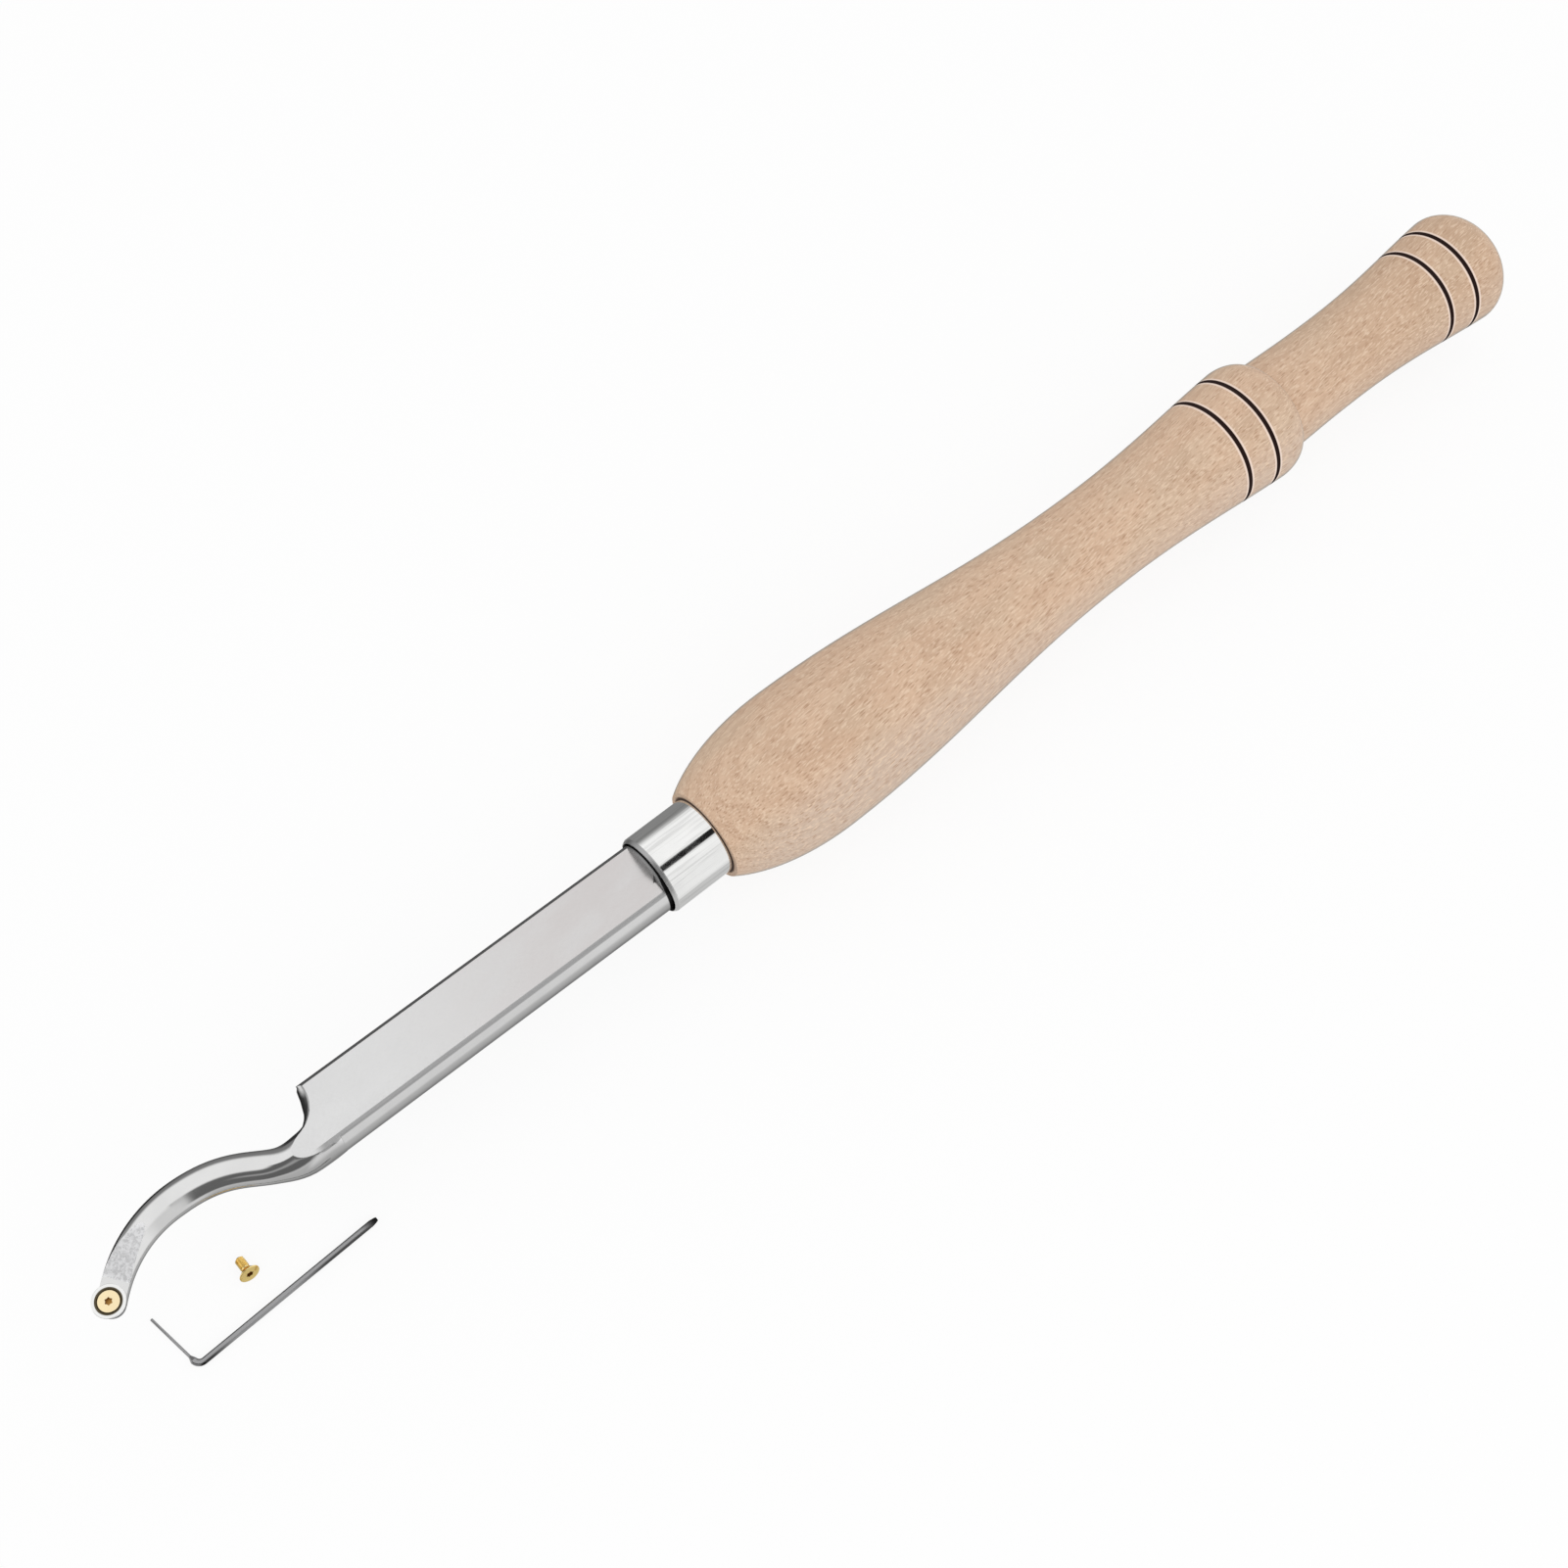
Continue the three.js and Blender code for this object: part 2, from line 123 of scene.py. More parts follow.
class HandleSettings(bpy.types.PropertyGroup):
    length: size("Length", 240.4, "From the wood face to the butt")
    face: size("Face", 21.2, "Diameter at the wood face")
    bulb: size("Bulb", 34.2, "Largest diameter")
    bulb_at: size("Bulb Place", 27.5, "From the face to the largest diameter")
    waist: size("Waist", 23.3, "Diameter of the long waist")
    waist_at: size("Waist Place", 114, "From the face to the waist")
    collar: size("Collar", 29, "Diameter of the collar")
    collar_at: size("Collar Place", 161.2, "From the face to the collar")
    shoulder: size("Shoulder", 22.6, "Diameter at the foot of the collar's shoulder")
    shoulder_length: size("Shoulder Length", 6, "Length of the collar's rounded shoulder")
    grip: size("Grip", 21.6, "Smallest diameter of the rear grip")
    grip_at: size("Grip Place", 190, "From the face to the rear grip")
    butt: size("Butt", 27.7, "Diameter of the butt")
    butt_at: size("Butt Place", 231.5, "From the face to the butt's largest diameter")
    tenon: size("Tenon", 16, "Diameter of the tenon in the ferrule")
    tenon_length: size("Tenon Length", 9, "Length of the tenon")
    bore: size("Bore", 10.6, "Diameter of the bore for the tang")
    bore_depth: size("Bore Depth", 53.3, "Depth of the bore behind the face")
    groove_width: size("Groove Width", 1, "Width of each burnt groove")
    groove_depth: size("Groove Depth", 0.5, "Depth of each burnt groove")
    collar_groove: size("Collar Groove", 4.4, "From the collar to its first groove")
    collar_pitch: size("Collar Groove Pitch", 8.3, "Between the collar's grooves")
    butt_groove: size("Butt Groove", 6.2, "From the butt to its first groove")
    butt_pitch: size("Butt Groove Pitch", 7.9, "Between the butt's grooves")
    wood: colour("Wood", (0.688, 0.476, 0.328), "Beech")
    pale_wood: colour("Pale Wood", (0.660, 0.480, 0.338), "Yellower patches of the beech")
    pale_fibre: colour("Pale Fibre", (0.80, 0.61, 0.45), "Pale fibres")
    fleck: colour("Fleck", (0.38, 0.205, 0.115), "Short dark ray flecks")
    # Painted sheen: wood towards the -Y side is painted paler and greyer in place of the lacquer's
    # sheen
    painted_sheen_side: colour("Pale Side", (0.62, 0.50, 0.41), "Greyer wood low on the bulb")
    rear: colour("Rear", (0.56, 0.38, 0.25), "Browner wood of the rear grip")
    # Painted highlight: the rounded rims beside each groove are painted pale as they catch the
    # light
    rim: colour("Groove Rim", (0.93, 0.76, 0.66), "Pale rims beside the grooves")
    burn: colour("Burn", (0.020, 0.004, 0.002), "The burnt grooves")
    # Painted shade: wood seen edge-on, along the outline, is painted this grey
    outline: colour("Outline", (0.33, 0.33, 0.30), "Wood seen at a grazing angle")


class FerruleSettings(bpy.types.PropertyGroup):
    length: size("Length", 14.6, "Length of the ferrule")
    outside: size("Outside", 18.2, "Outside diameter")
    inside: size("Inside", 16.6, "Inside diameter")
    bevel_length: size("Bevel Length", 0.75, "Length of the bevel at the front")
    bevel_depth: size("Bevel Depth", 0.35, "Depth of the bevel at the front")
    steel: colour("Steel", (0.865, 0.865, 0.855), "Polished steel")
    # Painted shade: the ferrule's front bevel is painted this grey
    front: colour("Front", (0.46, 0.46, 0.46), "Turned bevel at the front")
    # Painted shade: the inside of the ferrule is painted nearly black
    shade: colour("Bore Shade", (0.05, 0.05, 0.05), "Dull inside of the ferrule")


class BarSettings(bpy.types.PropertyGroup):
    bar: size("Bar", 16, "Diameter of the round bar")
    flats: size("Flats", 10, "Thickness across the two flats")
    round_length: size("Round Length", 0.8, "Round stretch that shows ahead of the ferrule")
    flat_length: size("Flat Length", 79.8, "Length of the flats up to the hollow")
    lean: angle("Lean", 0.75, "How far the bar leans to the side")
    tang: size("Tang", 10, "Diameter of the tang")
    tang_length: size("Tang Length", 62, "Length of the tang")
    reach: size("Neck Reach", 51.3, "From the end of the flats to the insert")
    neck: size("Neck", 6.8, "Diameter of the neck")
    root: size("Neck Root", 8.3, "Width of the neck at the hollow")
    root_at: size("Root Place", 6, "Length of the hollow")
    crest_at: size("Crest Place", 31.5, "From the end of the flats to the neck's crest")
    crest: size("Crest", 4.35, "How far the neck swings out")
    tip: size("Tip", 5.5, "Diameter of the neck under the insert")
    swing: size("Tip Swing", 4.9, "How far the tip swings to the other side")
    tip_angle: angle("Tip Angle", 48, "Direction of the neck at the tip")
    rounded_at: size("Rounded Place", 15, "Where the neck has become round")
    seat_angle: angle("Seat Angle", 36, "Direction of the ramp behind the insert")
    seat_length: size("Seat Length", 4.4, "From the insert's middle to the foot of the ramp")
    ramp_length: size("Ramp Length", 12, "Length of the ramp")
    edge: size("Edge", 0.55, "Width of the rounded edge on the key's side")
    far_edge: size("Far Edge", 0.16, "Width of the broken edges elsewhere")
    wall_bulge: size("Wall Bulge", 1.4, "How far the hollow's wall swells at mid height")
    steel: colour("Steel", (0.735, 0.733, 0.730), "Polished sides and neck")
    flat: colour("Flat", (0.745, 0.745, 0.745), "Ground flats near the neck")
    flat_root: colour("Flat Root", (0.64, 0.612, 0.606), "Ground flats near the ferrule")
    ramp: colour("Ramp", (0.90, 0.90, 0.91), "Matt ramp behind the insert")
    # Painted shade: the flats' rounded edges are painted this darker grey, and are also made
    # rougher
    painted_edge_shade: colour("Edge Shade", (0.45, 0.45, 0.45), "Dull rounded edges of the flats")
    outline: colour("Outline", (0.35, 0.35, 0.35), "Steel seen at a grazing angle")
    # Painted shade: the step's face and the round stretch in the ferrule's mouth get this grey,
    # nearly black deeper in on the -Y side
    shoulder: colour("Shoulder", (0.36, 0.36, 0.36), "Dull shoulder at the ferrule")


class InsertSettings(bpy.types.PropertyGroup):
    diameter: size("Diameter", 6.5, "Diameter at the cutting edge")
    thickness: size("Thickness", 2, "Thickness")
    relief: angle("Relief", 11, "Relief of the side")
    sink: size("Sink", 4.80, "Diameter of the sink for the screw")
    sink_depth: size("Sink Depth", 1.3, "Depth of the sink")
    bore: size("Bore", 2.8, "Diameter of the bore")
    carbide: colour("Carbide", (0.86, 0.86, 0.85), "Carbide")
    # Painted shade: the sink and bore round the screw are painted dark
    shade: colour("Sink Shade", (0.13, 0.11, 0.075), "Dark sink round the screw")


class ScrewSettings(bpy.types.PropertyGroup):
    head: size("Head", 4.25, "Diameter of the head")
    rim: size("Rim", 0.25, "Height of the head's rim")
    head_height: size("Head Height", 1.3, "Height of the countersunk head")
    thread: size("Thread", 2.0, "Diameter of the thread")
    core: size("Core", 1.56, "Diameter at the thread's root")
    pitch: size("Pitch", 0.4, "Pitch of the thread")
    length: size("Length", 4.4, "Whole length")
    socket: size("Socket", 1.7, "Diameter over the socket's lobes")
    valley: size("Socket Valley", 1.2, "Diameter between the lobes")
    socket_depth: size("Socket Depth", 0.8, "Depth of the socket")
    spare_ahead: size("Spare Place", 28.5, "From the end of the flats to the spare screw")
    spare_beside: size("Spare Distance", 11, "Beside the handle's axis")
    gilt: colour("Gilt", (0.95, 0.79, 0.50), "Gold coloured plating")
    shade: colour("Socket Shade", (0.42, 0.22, 0.06), "Dark bottom of the socket")
    loose: colour("Loose Gilt", (1.0, 0.77, 0.33), "Deeper plating of the spare screw")
    tarnish: colour("Tarnish", (0.70, 0.43, 0.12), "Brown spots and edges of the spare screw")


class KeySettings(bpy.types.PropertyGroup):
    flats: size("Flats", 1.3, "Thickness across flats")
    long_arm: size("Long Arm", 43.1, "Length of the long arm from the corner")
    short_arm: size("Short Arm", 13.3, "Length of the short arm from the corner")
    short_flats: size("Short Arm Flats", 0.52, "Thickness of the short arm across flats")
    end_taper: size("End Taper", 1.4, "Length of the long arm's tapered end")
    bend: angle("Bend", 97, "Angle between the arms")
    bend_radius: size("Bend Radius", 1.6, "Radius in the middle of the wire")
    corner_ahead: size("Corner Place", 46.1, "From the end of the flats to the corner")
    corner_beside: size("Corner Distance", 18.75, "Beside the handle's axis")
    turn: angle("Turn", 1.6, "How far the key is turned from the tool's line")
    steel: colour("Steel", (0.34, 0.34, 0.345), "Dark steel")
    # Nearly black at the long arm's end, and painted shade along one side of the arm
    dark_end_and_shade: colour("Black Ends", (0.012, 0.012, 0.012), "Blackened ends")


class StageSettings(bpy.types.PropertyGroup):
    lens: FloatProperty(
        name="Lens", description="Focal length", default=51.72, min=1, unit="CAMERA",
    )
    level: FloatProperty(name="Light Level", description="Plain light around", default=0.92, min=0)
    lamp: FloatProperty(
        name="Lamp", description="Power of the soft lamp", default=1.6, min=0, unit="POWER",
    )
    floor: colour("Floor", (0.93, 0.93, 0.93), "Pale floor")


class ToolSettings(bpy.types.PropertyGroup):
    handle: PointerProperty(type=HandleSettings, name="Handle", description="Turned handle")
    ferrule: PointerProperty(type=FerruleSettings, name="Ferrule", description="Steel ferrule")
    bar: PointerProperty(type=BarSettings, name="Bar", description="Swan-necked bar")
    insert: PointerProperty(type=InsertSettings, name="Insert", description="Round insert")
    screw: PointerProperty(type=ScrewSettings, name="Screws", description="Small screws")
    key: PointerProperty(type=KeySettings, name="Key", description="Bent key")
    stage: PointerProperty(type=StageSettings, name="Stage", description="Floor, light and camera")


# Modelling


def clear_selection():
    if bpy.context.mode != "OBJECT":
        bpy.ops.object.mode_set(mode="OBJECT")
    bpy.ops.object.select_all(action="DESELECT")


def work_on(piece):
    clear_selection()
    piece.select_set(True)
    bpy.context.view_layer.objects.active = piece


def open_mesh(piece):
    work_on(piece)
    bpy.ops.object.mode_set(mode="EDIT")
    pick_all()


def close_mesh():
    bpy.ops.object.mode_set(mode="OBJECT")


def pick(piece, kind, test):
    """In edit mode, select only the corners, edges or faces that the test accepts."""
    bpy.ops.mesh.select_mode(type=kind)
    bpy.ops.mesh.select_all(action="DESELECT")
    shape = bmesh.from_edit_mesh(piece.data)
    parts = {"VERT": shape.verts, "EDGE": shape.edges, "FACE": shape.faces}[kind]
    for part in parts:
        if test(part):
            part.select_set(True)
    shape.select_flush_mode()
    bmesh.update_edit_mesh(piece.data)


def pick_all():
    bpy.ops.mesh.select_all(action="SELECT")


def merge(reach=MERGED):
    bpy.ops.mesh.remove_doubles(threshold=reach)


def extrude(way):
    bpy.ops.mesh.extrude_region_move(TRANSFORM_OT_translate={"value": way})


def resize(value, centre):
    bpy.ops.transform.resize(value=value, center_override=centre)


def cut_at(height):
    """Cut the whole mesh's edges where a level plane crosses them."""
    pick_all()
    bpy.ops.mesh.bisect(plane_co=(0, 0, height), plane_no=(0, 0, 1), threshold=MERGED)


def face_out(piece):
    """In edit mode, turn all faces outwards and merge what lies in one place."""
    pick_all()
    merge()
    bpy.ops.mesh.normals_make_consistent(inside=False)
    if bmesh.from_edit_mesh(piece.data).calc_volume(signed=True) < 0:
        bpy.ops.mesh.flip_normals()


def turn(by, centre, axis="Z"):
    """Turn the selection; without a window the operator turns the other way."""
    way = -1 if bpy.app.background else 1
    bpy.ops.transform.rotate(value=way * by, orient_axis=axis, center_override=centre)


def outline(name, knots, smoothness=1):
    """A line through knots (radius, height, reach before, reach after) in the XZ plane."""
    clear_selection()
    bpy.ops.curve.primitive_bezier_curve_add(location=(0, 0, 0))
    curve = bpy.context.object
    curve.name = name
    curve.data.resolution_u = smoothness
    line = curve.data.splines[0]
    line.bezier_points.add(len(knots) - 2)
    spots = [Vector((knot[0], 0, knot[1])) for knot in knots]
    for number, (point, knot, spot) in enumerate(zip(line.bezier_points, knots, spots)):
        before = spots[max(number - 1, 0)]
        after = spots[min(number + 1, len(spots) - 1)]
        reaches = [(before - spot) / 3, (after - spot) / 3]
        for side, reach in enumerate(knot[2:]):
            if reach:
                reaches[side] = Vector((reach[0], 0, reach[1]))
        point.handle_left_type = point.handle_right_type = "FREE"
        point.co = spot
        point.handle_left = spot + reaches[0]
        point.handle_right = spot + reaches[1]
    bpy.ops.object.convert(target="MESH")
    return bpy.context.object


def lathe(name, knots, steps=96, smoothness=1):
    """A solid spun about the Z axis from a line of knots."""
    piece = outline(name, knots, smoothness)
    open_mesh(piece)
    bpy.ops.mesh.spin(steps=steps, angle=FULL_TURN, center=(0, 0, 0), axis=(0, 0, 1))
    face_out(piece)
    close_mesh()
    return piece


def prism(name, corners, depth):
    """A solid with a straight-sided outline in the XZ plane, as deep to each side."""
    piece = outline(name, [*corners, corners[0]])
    open_mesh(piece)
    merge()
    bpy.ops.mesh.edge_face_add()
    bpy.ops.transform.translate(value=(0, -depth, 0))
    extrude((0, 2 * depth, 0))
    face_out(piece)
    close_mesh()
    return piece


def put_at(piece, matrix):
    """Move a piece, and keep its new place in its mesh."""
    work_on(piece)
    piece.matrix_world = matrix
    bpy.ops.object.transform_apply(location=True, rotation=True, scale=True)


def lay_along_handle(piece):
    """Lay a piece that was made upright along the handle's axis, with its foot at the wood face."""
    put_at(piece, Matrix.Translation(place(0)) @ Matrix.Rotation(math.pi / 2, 4, "Y"))


def modify(piece, kind, **settings):
    """Add a modifier, set it and apply it."""
    work_on(piece)
    bpy.ops.object.modifier_add(type=kind)
    step = piece.modifiers[-1]
    for name, value in settings.items():
        setattr(step, name, value)
    bpy.ops.object.modifier_apply(modifier=step.name)


def combine(piece, other, way):
    """Join or cut with another solid, which is used up."""
    modify(piece, "BOOLEAN", operation=way, solver="EXACT", object=other)
    bpy.data.objects.remove(other)


def edge_angle(edge):
    return edge.calc_face_angle(0) if len(edge.link_faces) == 2 else 0


def break_edges(piece, test, width, segments=2, sharp=25):
    """Bevel the sharp edges that the test accepts."""
    limit = math.radians(sharp)
    open_mesh(piece)
    pick(piece, "EDGE", lambda edge: edge_angle(edge) > limit and test(edge))
    bpy.ops.mesh.bevel(offset=width, segments=segments, affect="EDGES", clamp_overlap=False)
    close_mesh()


def finish_piece(piece, body, nodes, material, smooth=30):
    """Smooth the piece, give it its finish and set it on its body in place of the CAD nodes."""
    work_on(piece)
    bpy.ops.object.shade_smooth_by_angle(angle=math.radians(smooth))
    piece.data.materials.clear()
    piece.data.materials.append(material)
    piece.data.name = piece.name
    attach(piece, body)
    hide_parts(*nodes)


def paint(piece, finish, test):
    """Give the faces that the test accepts another finish."""
    open_mesh(piece)
    pick(piece, "FACE", test)
    piece.data.materials.append(finish)
    piece.active_material_index = len(piece.data.materials) - 1
    bpy.ops.object.material_slot_assign()
    close_mesh()


# Node helpers


def fill(tree, inputs, links):
    """Give each listed input a value or another node's socket."""
    for key, value in dict(links).items():
        if isinstance(value, bpy.types.NodeSocket):
            tree.links.new(value, inputs[key])
        else:
            inputs[key].default_value = value


def put(tree, kind, links=(), **settings):
    """Add a shader node, set its options and fill its inputs."""
    node = tree.nodes.new("ShaderNode" + kind)
    for name, value in settings.items():
        setattr(node, name, value)
    fill(tree, node.inputs, links)
    return node


def calculate(tree, operation, *values):
    return put(tree, "Math", dict(enumerate(values)), operation=operation).outputs[0]


def times(tree, first, second):
    return calculate(tree, "MULTIPLY", first, second)


def plus(tree, first, second):
    return calculate(tree, "ADD", first, second)


def minus(tree, first, second):
    return calculate(tree, "SUBTRACT", first, second)


def most(tree, first, second):
    return calculate(tree, "MAXIMUM", first, second)


def on_vectors(tree, operation, *values):
    """A step on vectors; a length is a number and comes from the second output."""
    node = put(tree, "VectorMath", dict(enumerate(values)), operation=operation)
    return node.outputs[1 if operation == "LENGTH" else 0]


def split_up(tree, vector):
    return put(tree, "SeparateXYZ", {0: vector}).outputs


def stretched(tree, vector, scale):
    return put(tree, "Mapping", {"Vector": vector, "Scale": scale}).outputs[0]


def turned(tree, vector, by):
    return put(tree, "Mapping", {"Vector": vector, "Rotation": (0, 0, by)}).outputs[0]


def object_millimetres(tree, origin):
    """Object coordinates in millimetres, counted from a place on the piece."""
    source = put(tree, "TexCoord").outputs["Object"]
    links = {"Vector": source, "Location": Vector(origin) / -MM, "Scale": (1 / MM,) * 3}
    return put(tree, "Mapping", links).outputs[0]


def ramp(tree, value, low, high, to_low=0.0, to_high=1.0):
    """Map a value smoothly from one range to another."""
    links = {0: value, 1: low, 2: high, 3: to_low, 4: to_high}
    return put(tree, "MapRange", links, interpolation_type="SMOOTHSTEP").outputs[0]


def noise(tree, vector, scale, detail=3.0, roughness=0.5):
    links = {"Vector": vector, "Scale": scale, "Detail": detail, "Roughness": roughness}
    return put(tree, "TexNoise", links).outputs["Fac"]


def bump(tree, height, strength, distance):
    links = {"Height": height, "Strength": strength, "Distance": distance}
    return put(tree, "Bump", links).outputs[0]


def tinted(shade, amount):
    return (*(min(1.0, part * amount) for part in shade[:3]), 1.0)


def cover(tree, ground, *layers):
    """Lay colours over a ground, each through its own mask."""
    for mask, shade in layers:
        links = {0: mask, 6: ground, 7: shade}
        ground = put(tree, "Mix", links, data_type="RGBA").outputs[2]
    return ground


def new_group(name, inputs, outputs):
    """A shared shader group with its input and output nodes."""
    tree = bpy.data.node_groups.new(name, "ShaderNodeTree")
    for way, sockets in (("INPUT", inputs), ("OUTPUT", outputs)):
        for label, kind in sockets.items():
            tree.interface.new_socket(label, in_out=way, socket_type="NodeSocket" + kind)
    source = tree.nodes.new("NodeGroupInput")
    result = tree.nodes.new("NodeGroupOutput")
    return tree, source.outputs, result.inputs


def use_group(tree, name, make, *values):
    """Place a shared group, which is made the first time, and fill its inputs in order."""
    group = bpy.data.node_groups.get(name) or make(name)
    return put(tree, "Group", dict(enumerate(values)), node_tree=group).outputs


def band_group(name):
    """A soft-edged band about a centre, for the burnt grooves and the painted highlights on their
    rims.
    """
    inputs = dict.fromkeys(("Position", "Centre", "Half Width", "Softness"), "Float")
    tree, given, result = new_group(name, inputs, {"Mask": "Float"})
    off = calculate(tree, "ABSOLUTE", minus(tree, given[0], given[1]))
    outer = plus(tree, given[2], given[3])
    fill(tree, result, {0: ramp(tree, off, given[2], outer, 1.0, 0.0)})
    return tree


def brushing_group(name):
    """Fine lines along one direction with a few longer scratches."""
    inputs = {"Vector": "Vector", "Stretch": "Vector", "Scratches": "Float"}
    tree, given, result = new_group(name, inputs, {"Height": "Float", "Mask": "Float"})
    lines = on_vectors(tree, "MULTIPLY", given[0], given[1])
    fine = noise(tree, lines, 5.0, 4.0, 0.65)
    scratch = ramp(tree, noise(tree, lines, 1.3, 2.0), 0.62, 0.70)
    height = minus(tree, fine, times(tree, scratch, given[2]))
    fill(tree, result, {0: height, 1: ramp(tree, fine, 0.3, 0.7)})
    return tree


def smudge_group(name):
    """Broad uneven patches that vary a finish."""
    inputs = {"Vector": "Vector", "Scale": "Float"}
    tree, given, result = new_group(name, inputs, {"Mask": "Float"})
    fill(tree, result, {0: ramp(tree, noise(tree, given[0], given[1], 3.0, 0.55), 0.3, 0.7)})
    return tree


def empty_tree(owner):
    """The cleared node tree of a material or world."""
    owner.use_nodes = True
    owner.node_tree.nodes.clear()
    return owner.node_tree


def new_finish(name):
    """A material with its Principled shader and output joined."""
    finish = bpy.data.materials.new(name)
    tree = empty_tree(finish)
    shader = put(tree, "BsdfPrincipled")
    put(tree, "OutputMaterial", {"Surface": shader.outputs[0]})
    return finish, tree, shader.inputs


# Finishes; their patterns are laid out in millimetres


def groove_places(wood):
    """From the wood face to the middle of each burnt groove."""
    first = wood.collar_at - wood.collar_groove
    last = wood.butt_at - wood.butt_groove
    return [first, first - wood.collar_pitch, last, last - wood.butt_pitch]


def beech_finish(wood):
    """Lacquered beech with growth rings, fibres, ray flecks and burnt grooves with painted rim
    highlights.
    """
    finish, tree, inputs = new_finish("lacquered_beech")
    spot = object_millimetres(tree, place(0))
    along, beside, above = split_up(tree, spot)
    grain = turned(tree, spot, -math.radians(6))
    pith = on_vectors(tree, "ADD", spot, (0, -6, 60))
    pith = on_vectors(tree, "MULTIPLY", pith, (0.045, 1, 1))
    wander = noise(tree, stretched(tree, grain, (0.02, 0.08, 0.08)), 1.0, 2.0)
    rings = plus(tree, on_vectors(tree, "LENGTH", pith), times(tree, wander, 6.0))
    late_wood = ramp(tree, calculate(tree, "FRACT", times(tree, rings, 0.5)), 0.3, 0.95)
    patches = noise(tree, stretched(tree, grain, (0.05, 0.12, 0.12)), 1.0)
    fibres = noise(tree, stretched(tree, grain, (0.8, 2.8, 2.8)), 1.0, 2.0, 0.6)
    light = noise(tree, stretched(tree, grain, (0.42, 2.3, 2.3)), 1.3, 1.5)
    cells = stretched(tree, grain, (0.40, 2.2, 2.2))
    cells = put(tree, "TexVoronoi", {"Vector": cells, "Scale": 1.0}).outputs
    left_out = plus(
        tree, ramp(tree, beside, 6.0, -9.0, 0.70, 0.36),
        ramp(tree, patches, 0.42, 0.62, -0.12, 0.16),
    )
    kept = ramp(tree, minus(tree, split_up(tree, cells["Color"])[0], left_out), -0.08, 0.12)
    flecks = times(tree, ramp(tree, cells["Distance"], 0.2, 0.46, 1.0, 0.0), kept)
    radius = put(tree, "CombineXYZ", {1: beside, 2: above}).outputs[0]
    radius = on_vectors(tree, "LENGTH", radius)
    joint = ramp(tree, along, 0.1, 0.5, 1.0, 0.0)
    burnt, rim_highlights = times(tree, joint, ramp(tree, radius, 9.3, 9.9, 0.9, 0.0)), 0.0
    for middle in groove_places(wood):
        dark = use_group(tree, "band", band_group, along, middle / MM, 0.48, 0.14)[0]
        # painted highlight on the rounded rims beside the groove
        rim_highlight = use_group(tree, "band", band_group, along, middle / MM, 0.90, 0.28)[0]
        burnt, rim_highlights = most(tree, burnt, dark), most(tree, rim_highlights, rim_highlight)
    facing = put(tree, "LayerWeight", {"Blend": 0.5}).outputs["Facing"]
    ground = cover(
        tree, wood.wood,
        (ramp(tree, patches, 0.42, 0.68), wood.pale_wood),
        # painted sheen, paler and greyer towards the -Y side
        (ramp(tree, beside, -7.0, -15.0, 0.0, 0.7), wood.painted_sheen_side),
        (ramp(tree, along, 160.0, 200.0, 0.0, 0.45), wood.rear),
        (times(tree, late_wood, 0.19), wood.fleck),
        (ramp(tree, fibres, 0.42, 0.72, 0.0, 0.26), wood.fleck),
        (ramp(tree, light, 0.50, 0.68, 0.0, 0.7), wood.pale_fibre),
        (times(tree, flecks, 0.54), wood.fleck),
        # painted highlights beside the grooves
        (times(tree, rim_highlights, 0.75), wood.rim),
        (burnt, wood.burn),
        # painted shade, grey where the wood is seen edge-on
        (ramp(tree, facing, 0.74, 0.95, 0.0, 0.9), wood.outline),
    )
    smudges = use_group(tree, "smudges", smudge_group, spot, 0.08)[0]
    gloss = ramp(tree, smudges, 0.0, 1.0, 0.42, 0.52)
    relief = minus(tree, fibres, times(tree, flecks, 0.8))
    fill(tree, inputs, {
        "Base Color": ground,
        "Roughness": plus(tree, gloss, times(tree, burnt, 0.4)),
        "Specular IOR Level": 0.45,
        "Normal": bump(tree, relief, 0.15, 0.06 * MM),
    })
    return finish


def metal_finish(name, tint, stretch, scratches, gloss, depth, origin=(0, 0, 0)):
    """Bare metal with fine lines along the stretch and broad smudges."""
    finish, tree, inputs = new_finish(name)
    spot = object_millimetres(tree, origin)
    lines = use_group(tree, "brushing", brushing_group, spot, stretch, scratches)
    smudges = use_group(tree, "smudges", smudge_group, spot, 0.15)[0]
    steel = cover(
        tree, tint, (smudges, tinted(tint, 1.06)), (times(tree, lines[1], 0.25), tinted(tint, 0.9)),
    )
    rough = ramp(tree, smudges, 0.0, 1.0, *gloss)
    fill(tree, inputs, {
        "Base Color": steel, "Roughness": rough, "Metallic": 1.0,
        "Normal": bump(tree, lines[0], depth, 0.01 * MM),
    })
    return finish, tree, inputs, spot, steel, rough


def painted_shade_finish(name, tint, gloss, origin=(0, 0, 0), depth=0.1):
    """Matt metal in a dark colour, for painted shade in insides and shoulders."""
    return metal_finish(name, tint, (1.0, 1.0, 1.0), 0.1, gloss, depth, origin)[0]


